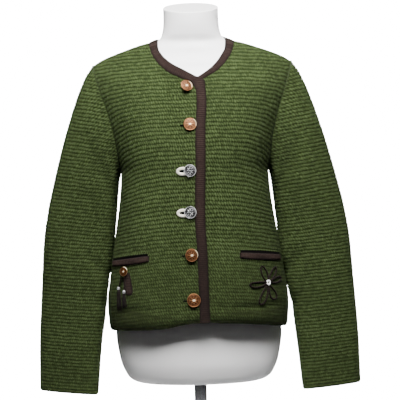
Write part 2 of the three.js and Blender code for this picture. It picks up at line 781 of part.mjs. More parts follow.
function pocketBand(pocket) {
  const rows = [-1, -0.75, 0.75, 1];
  const outline = rows.map((level) => Array.from({ length: POCKET.columns + 1 }, (_, j) => {
    const share = j / POCKET.columns;
    const half = POCKET.half * (1 - 0.12 * (0.5 + 0.5 * Math.cos(2 * Math.PI * share)) ** 6);
    return {
      x: pocket.fromX + (pocket.toX - pocket.fromX) * share,
      z: pocket.fromZ + (pocket.toZ - pocket.fromZ) * share + level * half,
    };
  }));
  return bandOnFront(outline, POCKET.thick, BAND_GAP);
}

// The upper lip of a pocket's mouth: a thin roll of the panel above the band.
function pocketLip(pocket) {
  const rows = [0, 0.5, 1];
  const outline = rows.map((level) => Array.from({ length: POCKET.columns + 1 }, (_, j) => {
    const share = j / POCKET.columns;
    const above = POCKET.half + 0.5 + POCKET.mouth * Math.sin(Math.PI * share) + level * 2.4;
    return {
      x: pocket.fromX + (pocket.toX - pocket.fromX) * share,
      z: pocket.fromZ + (pocket.toZ - pocket.fromZ) * share + above,
    };
  }));
  return bandOnFront(outline, 1.3, BAND_GAP);
}

function tabGeometry() {
  const outline = Array.from({ length: 7 }, (_, i) => {
    const share = i / 6;
    const x = TAB.endX + (TAB.topX - TAB.endX) * share;
    const z = TAB.endZ + (TAB.topZ - TAB.endZ) * share;
    const half = (TAB.width / 2) * Math.min(1, 0.62 + 1.5 * share, 1.35 - 0.55 * share);
    return [-1, -0.4, 0.4, 1].map((across) => ({
      x: x + across * half,
      z: z + (share === 0 ? 2.5 * across * across : 0),
    }));
  });
  return bandOnFront(outline, TAB.thick, BAND_GAP - 0.5);
}

// A worked buttonhole ring: an oval band with a slot through it, lying on the right front.
function ringGeometry(button) {
  const inner = [];
  const outer = [];
  for (let k = 0; k < 2; k += 1) {
    const cut = k === 0 ? RING.bandWidth : 0;
    const innerRow = [];
    const outerRow = [];
    for (let j = 0; j < RING.sides; j += 1) {
      const turn = (2 * Math.PI * j) / RING.sides;
      const x = button.x + RING.shift + (RING.halfLong - cut) * Math.cos(turn);
      const z = button.z + (RING.halfTall - cut) * Math.sin(turn);
      const seat = seatOnFront(x, z, SOLID_GAP);
      innerRow.push(seat.point);
      outerRow.push(seat.point.clone().addScaledVector(seat.normal, RING.thick * 0.6));
    }
    inner.push(innerRow);
    outer.push(outerRow);
  }
  const middle = outer[0].map((point, j) => {
    const mean = point.clone().add(outer[1][j]).multiplyScalar(0.5);
    return mean.addScaledVector(seatOnFront(mean.x, mean.z, 0).normal, RING.thick * 0.4);
  });
  const under = inner[0].map((point, j) => point.clone().add(inner[1][j]).multiplyScalar(0.5));
  const turned = (rows) => rows.map((row) => [...row].reverse());
  const face = turned([outer[0], middle, outer[1]]);
  return wallGeometry(face, turned([inner[0], under, inner[1]]), true);
}

// A form with level or slanting sections, closed below and above by a point in its middle.
function sectionsGeometry(sections) {
  const positions = [];
  for (const section of sections) {
    for (const point of section) {
      positions.push(point.x, point.y, point.z);
    }
  }
  const sides = sections[0].length;
  const middle = (section) => section
    .reduce((sum, point) => sum.add(point), new THREE.Vector3())
    .divideScalar(sides);
  const first = middle(sections[0]);
  const last = middle(sections[sections.length - 1]);
  positions.push(first.x, first.y, first.z, last.x, last.y, last.z);
  const count = sections.length * sides;
  const faces = [];
  for (let j = 0; j < sides; j += 1) {
    const k = (j + 1) % sides;
    for (let i = 0; i < sections.length - 1; i += 1) {
      const a = i * sides;
      faces.push(a + j, a + k, a + sides + k, a + j, a + sides + k, a + sides + j);
    }
    const top = (sections.length - 1) * sides;
    faces.push(count, k, j, count + 1, top + j, top + k);
  }
  const geometry = new THREE.BufferGeometry();
  geometry.setAttribute('position', new THREE.Float32BufferAttribute(positions, 3));
  geometry.setIndex(faces);
  return geometry;
}

function formSection(z, half, front, behind, square) {
  return Array.from({ length: FORM_SIDES }, (_, j) => {
    const turn = (2 * Math.PI * j) / FORM_SIDES;
    const x = half * Math.sign(Math.cos(turn)) * Math.abs(Math.cos(turn)) ** (2 / square);
    const deep = Math.sign(Math.sin(turn)) * Math.abs(Math.sin(turn)) ** (2 / square);
    return new THREE.Vector3(x, (deep < 0 ? front : behind) * deep, z);
  });
}

// The dress form: torso, shoulders that carry the cloth, and a neck cut off on a slope.
function formGeometry() {
  const sections = FORM.map((row) => formSection(row.z, row.half, row.front, row.back, FORM_SQUARE));
  for (const x of [FORM_SHOULDER.topX, 166, 150, 132, 115, 100, NECK_X, 76]) {
    const drop = SEAT + read(SHOULDER_DEPTH, 'x', x, 'ease');
    const front = read(SHOULDER_DEPTH, 'x', x, 'front');
    const behind = read(SHOULDER_DEPTH, 'x', x, 'back');
    sections.push(formSection(shoulderZ(x) - WALL - drop, x, front, behind, FORM_SHOULDER.square));
  }
  for (const row of NECK_COLUMN) {
    sections.push(formSection(row.z, row.half, row.front, row.back, 2));
  }
  const top = NECK_COLUMN[NECK_COLUMN.length - 1];
  const rim = formSection(NECK_TOP_Z, top.half, top.front, top.back, 2);
  for (const point of rim) {
    point.z = NECK_TOP_Z + NECK_SLOPE * point.y;
  }
  const soft = rim.map((point) => new THREE.Vector3(point.x * 0.965, point.y * 0.965, point.z + 1.6));
  sections.push(rim, soft);
  return sectionsGeometry(sections);
}

const wasm = await Module();
wasm.setup();

function toSolid(geometry) {
  const bare = geometry.index ? geometry.clone() : mergeVertices(geometry.clone());
  bare.deleteAttribute('normal');
  bare.deleteAttribute('uv');
  const merged = mergeVertices(bare, 1e-4);
  return new wasm.Manifold(new wasm.Mesh({
    numProp: 3,
    vertProperties: new Float32Array(merged.attributes.position.array),
    triVerts: new Uint32Array(merged.index.array),
  }));
}

function fromSolid(solid) {
  const mesh = solid.getMesh();
  const geometry = new THREE.BufferGeometry();
  geometry.setAttribute('position', new THREE.BufferAttribute(mesh.vertProperties.slice(), 3));
  geometry.setIndex(new THREE.BufferAttribute(mesh.triVerts.slice(), 1));
  return geometry;
}

// A rod of a few sides between two points.
function rod(from, to, radius, sides) {
  const length = from.distanceTo(to);
  const geometry = new THREE.CylinderGeometry(radius, radius * 0.8, length, sides);
  const turn = new THREE.Quaternion().setFromUnitVectors(
    new THREE.Vector3(0, 1, 0), from.clone().sub(to).normalize());
  geometry.applyQuaternion(turn);
  const middle = from.clone().add(to).multiplyScalar(0.5);
  geometry.translate(middle.x, middle.y, middle.z);
  return geometry;
}

// A thin cord, a metal bead, and strands whose roots are fused into the bead's underside.
function tasselGeometry(tassel) {
  const top = seatOnFront(tassel.topX, tassel.topZ, tassel.clear).point;
  const bead = seatOnFront(tassel.beadX, tassel.beadZ, tassel.clear).point;
  const ball = new THREE.SphereGeometry(tassel.radius, 8, 5);
  ball.translate(bead.x, bead.y, bead.z);
  let solid = toSolid(rod(top, bead, CORD_RADIUS, 5)).add(toSolid(ball));
  for (let k = 0; k < STRANDS; k += 1) {
    const turn = (2 * Math.PI * k) / STRANDS;
    const spread = tassel.radius * 0.5;
    const root = new THREE.Vector3(spread * Math.cos(turn), spread * Math.sin(turn), -1.2);
    const reach = tassel.strand * (0.86 + 0.14 * Math.cos(3 * turn + 1));
    const endX = tassel.beadX + 2.2 * spread * Math.cos(turn);
    const away = tassel.clear - 0.6 * spread * Math.sin(turn);
    const end = seatOnFront(endX, tassel.beadZ - reach, away).point;
    solid = solid.add(toSolid(rod(root.add(bead), end, 0.75, 3)));
  }
  return fromSolid(solid);
}

const GREEN = new THREE.MeshStandardMaterial({ color: 0x4d5c33, roughness: 0.9, metalness: 0 });
const BROWN = new THREE.MeshStandardMaterial({ color: 0x3d2f2a, roughness: 0.9, metalness: 0 });
const CREAM = new THREE.MeshStandardMaterial({ color: 0xe9e2cf, roughness: 0.8, metalness: 0 });
const COPPER = new THREE.MeshStandardMaterial({ color: 0xa5562c, roughness: 0.35, metalness: 1 });
const PEWTER = new THREE.MeshStandardMaterial({ color: 0x8d8f92, roughness: 0.4, metalness: 1 });
const WHITE = new THREE.MeshStandardMaterial({ color: 0xf2f0ee, roughness: 0.45, metalness: 0 });
const CHROME = new THREE.MeshStandardMaterial({ color: 0xd0d2d4, roughness: 0.15, metalness: 1 });
const METALS = { copper: COPPER, pewter: PEWTER };

const group = new THREE.Group();

function place(name, geometry, material) {
  const mesh = new THREE.Mesh(geometry, material);
  mesh.name = name;
  group.add(mesh);
  return mesh;
}

place('front_right', panelGeometry(frontRight, frontRightNormals), GREEN);
place('front_left', panelGeometry(frontLeft, frontLeftNormals), GREEN);
place('back', panelGeometry(back, backNormals), GREEN);
place('sleeve_right', sleeveGeometry(-1), GREEN);
place('sleeve_left', sleeveGeometry(1), GREEN);
place('neck_binding', neckBinding(), BROWN);
place('edge_binding', edgeBinding(), BROWN);

for (const pocket of POCKETS) {
  place(`pocket_band_${pocket.name}`, pocketBand(pocket), BROWN);
  place(`pocket_lip_${pocket.name}`, pocketLip(pocket), GREEN);
}

BUTTONS.forEach((button, i) => {
  const lean = Math.sin((Math.abs(button.tip) * Math.PI) / 180);
  const lift = BUTTON_GAP + 0.9 * button.radius * lean;
  const shank = lift - 2 * SOLID_GAP - 0.5 * SHANK_RADIUS * lean;
  const geometry = buttonGeometry(button.radius, shank);
  const mesh = place(`front_button_${i + 1}`, geometry, METALS[button.metal]);
  standOn(mesh, seatOnFront(button.x, button.z, lift), button.tip);
});
const smallButton = buttonGeometry(POCKET_BUTTON.radius, 4.2);
const pocketButton = place('pocket_button', smallButton, METALS[POCKET_BUTTON.metal]);
standOn(pocketButton, seatOnFront(POCKET_BUTTON.x, POCKET_BUTTON.z, 7.4), POCKET_BUTTON.tip);

RING_BUTTONS.forEach((index) => {
  place(`buttonhole_ring_${index + 1}`, ringGeometry(BUTTONS[index]), CREAM);
});

place('pocket_tab', tabGeometry(), BROWN);
TASSELS.forEach((tassel, i) => {
  place(`pocket_tassel_${i + 1}`, tasselGeometry(tassel), BROWN);
});
const beadRing = new THREE.TorusGeometry(FLOWER_BEAD.radius, FLOWER_BEAD.tube, 6, 12);
const bead = place('flower_bead', beadRing, CREAM);
standOn(bead, seatOnFront(FLOWER_BEAD.x, FLOWER_BEAD.z, FLOWER_BEAD.tube + SOLID_GAP), 0);

place('dress_form', formGeometry(), WHITE);

const poleTop = FORM_BOTTOM - SOLID_GAP;
const poleBottom = BASE_THICK + SOLID_GAP;
const pole = place(
  'pole',
  new THREE.CylinderGeometry(POLE_RADIUS, POLE_RADIUS, poleTop - poleBottom, 24),
  CHROME,
);
pole.rotation.x = Math.PI / 2;
pole.position.z = (poleTop + poleBottom) / 2;
place('base_plate', lathe([
  { radius: 0, height: 0 },
  { radius: BASE_RADIUS, height: 0 },
  { radius: BASE_RADIUS, height: BASE_THICK - 3 },
  { radius: BASE_RADIUS - 3, height: BASE_THICK },
  { radius: 0, height: BASE_THICK },
], 40), CHROME);

export default group;
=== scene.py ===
"""A garter-stitch cardigan on a limbless dress form: knitted cloth, bindings, buttons and stand.

Lengths in the tables are millimetres, as in the solids; a mesh is made in metres.
The front faces -Y, the wearer's left is +X and +Z is up.
"""

import math

import bpy
import numpy as np
from mathutils import Matrix, Quaternion, Vector


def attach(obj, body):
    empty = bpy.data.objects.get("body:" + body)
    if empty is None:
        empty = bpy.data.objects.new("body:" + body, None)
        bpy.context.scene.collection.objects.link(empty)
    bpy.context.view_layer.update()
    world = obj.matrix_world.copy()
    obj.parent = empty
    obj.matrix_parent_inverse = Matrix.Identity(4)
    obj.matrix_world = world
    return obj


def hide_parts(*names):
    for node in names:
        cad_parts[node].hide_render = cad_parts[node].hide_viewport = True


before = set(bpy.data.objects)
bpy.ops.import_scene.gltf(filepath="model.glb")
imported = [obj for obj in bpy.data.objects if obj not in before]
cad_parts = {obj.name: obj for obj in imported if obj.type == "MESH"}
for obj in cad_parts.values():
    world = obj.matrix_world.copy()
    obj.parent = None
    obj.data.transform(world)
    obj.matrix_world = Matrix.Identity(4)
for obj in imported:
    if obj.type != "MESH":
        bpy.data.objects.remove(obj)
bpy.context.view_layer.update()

MM = 0.001

# The camera: level, in front, rolled a little, with 800 mm of the coat's plane across the picture.
CAMERA_AT = (8.8, -2600.0, 497.8)
CAMERA_ROLL = -1.52
FIELD = 800.0

WALL = 3.0
SEAM = 0.3
LAP_DEPTH = 5.8
SHOULDER_ROUND = 90.0
BODY_SQUARE = 2.4
ARMPIT_Z = 556.0
TIP_Z = 770.0
TIP_X = 199.0
ARMHOLE_MID = (ARMPIT_Z + TIP_Z) / 2
ARMHOLE_HALF = (TIP_Z - ARMPIT_Z) / 2
NECK_X = 86.0
EDGE_LEFT = 4.5
EDGE_RIGHT = 21.5
UNDERLAP_X = -28.0
V_CORNER = 4.4
BACK_HEM_Z = 246.0
SLEEVE_SQUARE = 2.3
CAP_FADE = 0.3

# The knitting: the height of a garter ridge, the width of a stitch, and the ridge's depth.
STITCH = 5.0
RIDGE_TOP = 0.9
RIDGE_DEPTH = 1.75
ROWS_IN_RIDGE = 7
PANEL_SAMPLES = 900
SLEEVE_SAMPLES = 800
SEAM_DIP = 0.5
HEM_DIP = 1.3
INNER_SHADE = 0.45
HEM_ROLL = 4.5

# How far each sleeve lies against the body's side, with the height and reach of that place.
HUG = {1: (7.5, 368, 66), -1: (4.4, 345, 92)}


def table(names, *rows):
    return dict(zip(names.split(), np.array(rows, float).T))


BODY = table(
    "z half front back",
    (240, 175.5, 147, 113), (262, 178.5, 146, 113), (300, 180.5, 143, 114),
    (345, 175, 139, 112), (390, 168.5, 136, 108), (440, 160.5, 134, 104),
    (500, 151.5, 132, 102), (540, 147.8, 131, 103), (556, 147, 131, 104),
    (575, 152.5, 131, 105), (600, 160, 130, 106), (650, 175, 122, 106),
    (700, 192, 106, 100), (740, 204, 90, 92), (780, 216, 74, 82),
    (817, 230, 64, 75), (870, 250, 60, 72),
)
SHOULDER = table(
    "x z",
    (0, 862), (40, 847), (53, 835), (62, 827), (68.5, 822), (86, 815), (105, 810),
    (135, 800), (160, 791), (180, 782.5), (192, 775.5), (199, 770), (230, 730),
)
ARMHOLE = table(
    "z front back",
    (556, 147, 147), (575, 148.5, 149.5), (600, 151.5, 154), (635, 157.5, 162),
    (670, 166.5, 171.5), (710, 180, 183), (740, 189.5, 191), (758, 195.2, 195.8),
    (770, 199, 199),
)
FRONT_NECK = table(
    "x z",
    (-28, 706), (-10, 719.5), (4.4, 726.5), (25, 736), (46.7, 747.7), (62, 762), (73.6, 778),
    (81, 795), (86, 815),
)
NECK_FREE = {
    1: table(
        "x innerX innerZ",
        (4.4, 4, 734), (25, 19.5, 743), (46.7, 38, 756), (62, 50.5, 769.3),
        (73.6, 60, 785), (81, 66, 797), (86, 68.5, 822),
    ),
    -1: table(
        "x innerX innerZ",
        (4.4, -9, 735.5), (25, 17, 751.6), (46.7, 36.5, 762.8), (62, 50, 773.8),
        (73.6, 59.7, 786), (81, 66, 799), (86, 68.5, 822),
    ),
}
BACK_NECK = table(
    "x z innerX innerZ",
    (0, 808, 0, 825.5), (40, 809, 34, 825.5), (65, 811, 53, 825),
    (78, 813, 62, 823.6), (86, 815, 68.5, 822),
)
FRONT_HEM = table(
    "x z",
    (-178, 246), (-150, 249), (-110, 251.5), (-70, 254.5), (-30, 262), (0, 265),
    (60, 262.5), (120, 256.5), (178, 246),
)
SLEEVE_OUTER = table(
    "x z",
    (199, 770), (211, 753), (226, 722), (245, 670), (265, 606), (282, 542),
    (297, 478), (306.5, 414), (311, 345), (315, 285), (319, 206), (320, 127),
)
SLEEVE_INNER = table(
    "x z",
    (147, 556), (151, 540), (154, 512), (157.5, 480), (163.5, 440), (172, 390),
    (179, 345), (185.5, 300), (190, 262), (196.5, 200), (204.5, 115),
)
SLEEVE_DEPTH = table(
    "along half centre",
    (0, 60, 0), (0.15, 56, 3), (0.4, 44, 7), (0.7, 33, 5), (0.9, 24, 0), (1, 19, -2),
)
FRONT_FOLDS = table(
    "x z wide tall rise",
    (-135, 291, 44, 7, -4), (118, 291, 52, 7, -4), (-135, 268, 48, 13, 2.5),
    (125, 270, 52, 12, 2), (-62, 292, 13, 52, -3), (66, 330, 20, 70, 2.5),
    (-112, 480, 20, 80, 3), (108, 470, 22, 90, 3), (-138, 610, 11, 60, -6),
    (138, 610, 11, 60, -6),
)
BACK_FOLDS = table(
    "x z wide tall rise",
    (-60, 320, 22, 100, 5), (4, 300, 20, 90, -4), (66, 330, 24, 110, 5),
    (-118, 600, 16, 70, -5), (118, 600, 16, 70, -5), (0, 470, 80, 20, -3),
)
SLEEVE_FOLDS = table(
    "along turn length arc rise",
    (0.13, -1.9, 0.05, 0.7, -5), (0.2, -2.2, 0.05, 0.6, 3), (0.15, 2.0, 0.05, 0.7, -5),
    (0.47, 2.7, 0.035, 0.8, -4), (0.54, -2.8, 0.035, 0.8, -3),
    (0.61, 2.6, 0.03, 0.7, -3), (0.8, -1.2, 0.12, 0.35, -2.5),
)

# How far the knitted rows hang down at the body's sides, and how they slope across a sleeve.
ROW_DROOP = table(
    "z drop power",
    (240, 19, 2.2), (330, 18, 2.3), (415, 18, 2.5), (500, 24, 3.2), (560, 31, 4.2),
    (640, 30, 4.8), (700, 17, 4.8), (760, 7, 4), (820, 3, 3),
)
RIDGES = table(
    "z height",
    (230, 6.6), (370, 6.7), (430, 7.5), (480, 8), (590, 8), (660, 7.4), (860, 7.2),
)
SLEEVE_RIDGES = table("down height", (0, 7.8), (150, 7.5), (300, 7.2), (450, 6.9), (700, 6.7))

# How far the front edge and the rows by it lie aside of a straight line.
EDGE_WAVE = table(
    "z aside",
    (240, 0), (310, -1), (400, -2.4), (455, -5), (500, -4), (560, -1.5), (640, 0.5),
    (685, 4), (725, 2), (760, 0), (800, 0),
)
ROW_SLOPE = table(
    "z slope",
    (100, 0.104), (250, 0.09), (350, 0.09), (450, 0.115), (550, 0.16), (660, 0.2),
    (780, 0.24),
)

BUTTONS = (
    (-11.5, 715.5, 11.6, "copper", 22), (-6.5, 642, 12.3, "copper", 4),
    (-8.7, 554, 11.6, "pewter", 3), (-10, 474.6, 11.6, "pewter", -2),
    (-9.8, 393.5, 12.2, "copper", 12), (-7.8, 308.4, 12.8, "copper", 4),
)
POCKET_BUTTON = (-135.8, 363.5, 8.8, "copper", 10)
POCKET_SHANK = 4.2
POCKET_LIFT = 7.4
RING = {"shift": -16.4, "half_long": 13, "half_tall": 9.4, "band": 6, "thick": 2.6}
BUTTON_GAP = 3.4
SHANK = 3.0
POCKETS = {
    "right": (-165, 378.3, -91, 389),
    "left": (81.4, 391.4, 162.3, 382.7),
}
POCKET_HALF = 7.3
POCKET_LONG = 78
BAND_GAP = 1.15
TAB = {"top": (-135, 361), "end": (-131, 318), "width": 15.5}
TASSELS = (
    ((-143.8, 356.5), (-150, 330.6), 42, 3.4, 3.7),
    ((-137.3, 351.5), (-138.4, 324.4), 30, 3.4, 5.2),
)
STRANDS = 22
FLOWER = (134.5, 335.5)
PETALS = table(
    "right up",
    (-11.5, 31.8), (16.4, 27.9), (26, 6.7), (12.5, -31.8), (-15.4, -39.5), (-35.6, -2.9),
)

FORM = table(
    "z half front back square",
    (137, 108, 66, 66, 2.15), (139, 122, 77, 77, 2.15), (144.5, 136, 87, 87, 2.15),
    (155, 146, 95, 94, 2.15), (185, 158, 105, 100, 2.15), (235, 165, 108, 101, 2.15),
    (290, 163, 104, 98, 2.15), (345, 151, 95, 92, 2.15), (400, 136, 87, 84, 2.15),
    (450, 128, 88, 80, 2.15), (500, 131, 100, 82, 2.15), (550, 137, 114, 87, 2.15),
    (595, 142, 116, 91, 2.15), (640, 151, 108, 92, 2.15), (680, 163, 95, 88, 2.15),
    (715, 175, 81, 79, 2.15), (742, 184, 70, 68, 2.15), (758, 186, 62.5, 60, 2.15),
    (769, 184, 54, 52, 2.15),
)
SHOULDER_DEPTH = table(
    "x front back ease",
    (70, 41, 41, 4.4), (86, 41.5, 43, 3.6), (112, 45, 44, 0), (160, 48, 46, 0),
    (178, 51, 48, 1.4),
)
NECK_COLUMN = table(
    "z half front back",
    (823, 61, 45, 44), (832, 58, 47, 46), (845, 55.6, 49.5, 47.5), (860, 55, 50, 48),
)
NECK_TOP_Z = 882.0
NECK_SLOPE = 0.34


def blend_step(t):
    u = np.clip(t, 0.0, 1.0)
    return u * u * (3 - 2 * u)


def bell(value, middle, wide):
    """1 at the middle, falling away on both sides of it."""
    return np.exp(-(((value - middle) / wide) ** 2))


def cycle(turns):
    """From 1 down to 0 and back, once for each whole turn."""
    return 0.5 + 0.5 * np.cos(2 * math.pi * turns)


def circle(count):
    return np.linspace(0, 2 * math.pi, count, endpoint=False)


def squared(value, power):
    """A cosine or a sine bent so that it draws a rounded square."""
    return np.sign(value) * np.abs(value) ** power


def unit(n):
    return n / np.maximum(np.linalg.norm(n, axis=-1, keepdims=True), 1e-9)


def running(points):
    """The length up to each point of a line."""
    return np.concatenate([[0.0], np.cumsum(np.linalg.norm(np.diff(points, axis=0), axis=1))])


def read(tab, by, value, column):
    """A column of a table at values of another one, with no overshoot between its rows."""
    x, y = tab[by], tab[column]
    v = np.clip(np.asarray(value, float), x[0], x[-1])
    slopes = np.diff(y) / np.diff(x)
    a, b = slopes[:-1], slopes[1:]
    total = np.where(np.abs(a + b) < 1e-12, 1.0, a + b)
    inner = np.where(a * b <= 0, 0.0, 2 * a * b / total)
    tangents = np.concatenate([slopes[:1], inner, slopes[-1:]])
    i = np.searchsorted(x[1:-1], v, side="left")
    step = x[i + 1] - x[i]
    t = (v - x[i]) / step
    rise = t * t * (3 - 2 * t)
    curve = t * (1 - t) * (tangents[i] * (1 - t) - tangents[i + 1] * t) * step
    return y[i] * (1 - rise) + y[i + 1] * rise + curve


def shoulder_z(x):
    return read(SHOULDER, "x", np.abs(x), "z")


def fold_rise(face, x, z):
    folds = FRONT_FOLDS if face == "front" else BACK_FOLDS
    rise = np.zeros(np.shape(x))
    for at_x, at_z, wide, tall, most in zip(*folds.values()):
        rise = rise + most * np.exp(-(((x - at_x) / wide) ** 2) - ((z - at_z) / tall) ** 2)
    return rise


def body_point(face, x, z):
    half = read(BODY, "z", z, "half")
    depth = read(BODY, "z", z, face)
    across = np.minimum(1.0, np.abs(x) / half)
    full = (1 - across**BODY_SQUARE) ** (1 / BODY_SQUARE)
    below = np.clip((shoulder_z(x) - z) / SHOULDER_ROUND, 0, 1)
    over = np.sqrt(1 - (1 - below) ** 2)
    y = SEAM / 2 + (depth + fold_rise(face, x, z)) * full * over
    return np.stack([x, -y if face == "front" else y, z], -1)


def front_point(side, x, z):
    point = body_point("front", x, z)
    if side > 0:
        point[..., 1] += LAP_DEPTH * (1 - blend_step((x - EDGE_RIGHT - 3) / 20))
    return point


def surface_normals(point_at, x, z, flip):
    """Outward directions of a surface given over x and z."""
    e = 0.7
    right = point_at(x + e, z) - point_at(x - e, z)
    up = point_at(x, z + e) - point_at(x, z - e)
    return unit(np.cross(right, up) * (-1.0 if flip else 1.0))


def hashed(a, b):
    """A number from 0 to 1 for each pair of whole numbers, always the same one."""
    v = np.sin(a * 127.1 + b * 311.7) * 43758.5453
    return v - np.floor(v)


def knit_height(u, v):
    """Garter stitch from 0 in the valleys to 1 on the bumps, and the ridge without its bumps.

    u counts stitches across and v ridges up.
    """
    k = np.floor(v)
    f = v - k
    one = np.floor(u)
    bump = 0.5 - 0.5 * np.cos(2 * math.pi * u)
    lean = 0.12 * (hashed(one, k + 0.5) - 0.5) - 0.06 * bump
    wide = 0.37 + 0.19 * bump
    ridge = np.sqrt(np.clip(1 - ((f - 0.5 - lean) / wide) ** 2, 0, 1))
    swell = 0.78 + 0.22 * hashed(one, k)
    return ridge * (0.56 + 0.44 * bump) * swell, ridge * swell


def half_drop(v):
    """How far each ridge's stitches lie aside of the ones below, in stitches."""
    k = np.floor(v)
    return 0.5 * (k % 2) + 0.22 * np.sin(2.4 * k) + 0.7 * (v - k - 0.5)
def knit_uv(across, aside, at, rates, sway):
    """Places in the knitting, in stitches across and ridges up, with the wool's small sways."""
    stray = 0.16 * np.sin(aside * 0.13 + at * 1.9) + 0.12 * np.sin(aside * rates[0] - at * 2.7)
    uv = np.stack([across / STITCH + stray, at], -1)
    uv[:, 1] += sway * np.sin(aside * rates[1] + 2 * np.sin(at * 0.7))
    uv[:, 1] += 0.05 * np.sin(aside * rates[2] + at * 4.1)
    uv[:, 0] += half_drop(uv[:, 1])
    return uv

def counted(tab, by):
    """A table's pitch added up: how many ridges there are up to each place."""
    at = np.linspace(tab[by][0], tab[by][-1], 400)
    pitch = read(tab, by, at, "height")
    steps = np.diff(at) / ((pitch[1:] + pitch[:-1]) / 2)
    return at, np.concatenate([[0.0], np.cumsum(steps)])


BODY_COUNT = counted(RIDGES, "z")
SLEEVE_COUNT = counted(SLEEVE_RIDGES, "down")


def row_height(x, z, half):
    """Which of the body's ridges lies at a place: they droop towards the sides."""
    share = np.clip(np.abs(x) / half, 0, 1.2)
    level = z + read(ROW_DROOP, "z", z, "drop") * share ** read(ROW_DROOP, "z", z, "power")
    return np.interp(level, *BODY_COUNT)


def wave_aside(points):
    """Moves the cloth by the front edge a little aside, as the worn edge waves."""
    near = bell(points[..., 0], 10, 42) * (points[..., 1] < 0)
    points[..., 0] += read(EDGE_WAVE, "z", points[..., 2], "aside") * near
    return points


def zip_lines(a, at_a, b, at_b, faces):
    """Joins two lines of vertices with triangles, by their rising places along the lines."""
    i = j = 0
    last_a, last_b = len(a) - 1, len(b) - 1
    while i < last_a or j < last_b:
        if j == last_b or (i < last_a and at_a[i + 1] <= at_b[j + 1]):
            faces.append((a[i], b[j], a[i + 1]))
            i += 1
        else:
            faces.append((a[i], b[j], b[j + 1]))
            j += 1


def make_object(name, points, faces, uv=None, shade=None, smooth=True):
    """A mesh object from points in millimetres."""
    mesh = bpy.data.meshes.new(name)
    points = np.asarray(points, float) * MM
    faces = np.asarray(faces, np.int32)
    mesh.vertices.add(len(points))
    mesh.vertices.foreach_set("co", points.astype(np.float32).ravel())
    width = faces.shape[1]
    mesh.loops.add(faces.size)
    mesh.loops.foreach_set("vertex_index", faces.ravel())
    mesh.polygons.add(len(faces))
    mesh.polygons.foreach_set("loop_start", np.arange(0, faces.size, width, dtype=np.int32))
    mesh.polygons.foreach_set("loop_total", np.full(len(faces), width, np.int32))
    mesh.polygons.foreach_set("use_smooth", np.full(len(faces), smooth))
    if uv is not None:
        layer = mesh.uv_layers.new(name="knit")
        layer.data.foreach_set("uv", np.asarray(uv, np.float32)[faces.ravel()].ravel())
    # The height attribute is the tone the materials read, with painted shade and painted glints in
    # it.
    if shade is not None:
        layer = mesh.attributes.new("height", "FLOAT", "POINT")
        layer.data.foreach_set("value", np.asarray(shade, np.float32))
    mesh.update(calc_edges=True)
    mesh.validate()
    obj = bpy.data.objects.new(name, mesh)
    bpy.context.scene.collection.objects.link(obj)
    return obj


def add_piece(obj, material, nodes=()):
    obj.data.materials.append(material)
    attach(obj, "root")
    if nodes:
        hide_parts(*nodes)
    return obj


class Shell:
    """A knitted wall gathered column by column: an outer face with ridges, a plain inner one."""

    def __init__(self):
        self.points, self.uv, self.shade, self.faces = [], [], [], []
        self.count = 0
        self.outer, self.inner = [], []

    def add_line(self, points, uv, shade):
        start = self.count
        self.points.append(points)
        self.uv.append(uv)
        self.shade.append(shade)
        self.count += len(points)
        return np.arange(start, self.count)

    def add_outer(self, points, at, uv, shade):
        self.outer.append((self.add_line(points, uv, shade), at))

    def add_inner(self, points, at, uv):
        shade = np.full(len(points), INNER_SHADE)
        self.inner.append((self.add_line(points, uv, shade), at))

    def close(self, name):
        """Joins the columns, and the outer face to the inner one round every edge."""

        def join(one, other, turned):
            (a, at_a), (b, at_b) = (other, one) if turned else (one, other)
            zip_lines(a, at_a, b, at_b, self.faces)

        both = (self.outer, self.inner)
        for lines in both:
            for pair in zip(lines[:-1], lines[1:]):
                join(*pair, lines is self.outer)
        for end in (0, -1):
            ids = [[line[end] for line, _ in lines] for lines in both]
            join(*((line, np.linspace(0, 1, len(line))) for line in ids), end == -1)
        for end in (0, -1):
            edges = (lines[end] for lines in both)
            join(*((ids, (at - at[0]) / (at[-1] - at[0])) for ids, at in edges), end == 0)
        parts = (np.concatenate(part) for part in (self.points, self.uv, self.shade))
        points, uv, shade = parts
        return make_object(name, points, np.array(self.faces), uv, shade)


def aligned(at, step):
    """Shares of a fine line at whole steps of its rising value, with its two ends."""
    first, last = at[0], at[-1]
    k = np.arange(math.ceil(first / step + 0.35), math.floor(last / step - 0.35) + 1)
    shares = np.interp(k * step, at, np.linspace(0, 1, len(at)))
    return np.concatenate([[0.0], shares, [1.0]]), np.concatenate([[first], k * step, [last]])


LOW_SHARE = 0.59


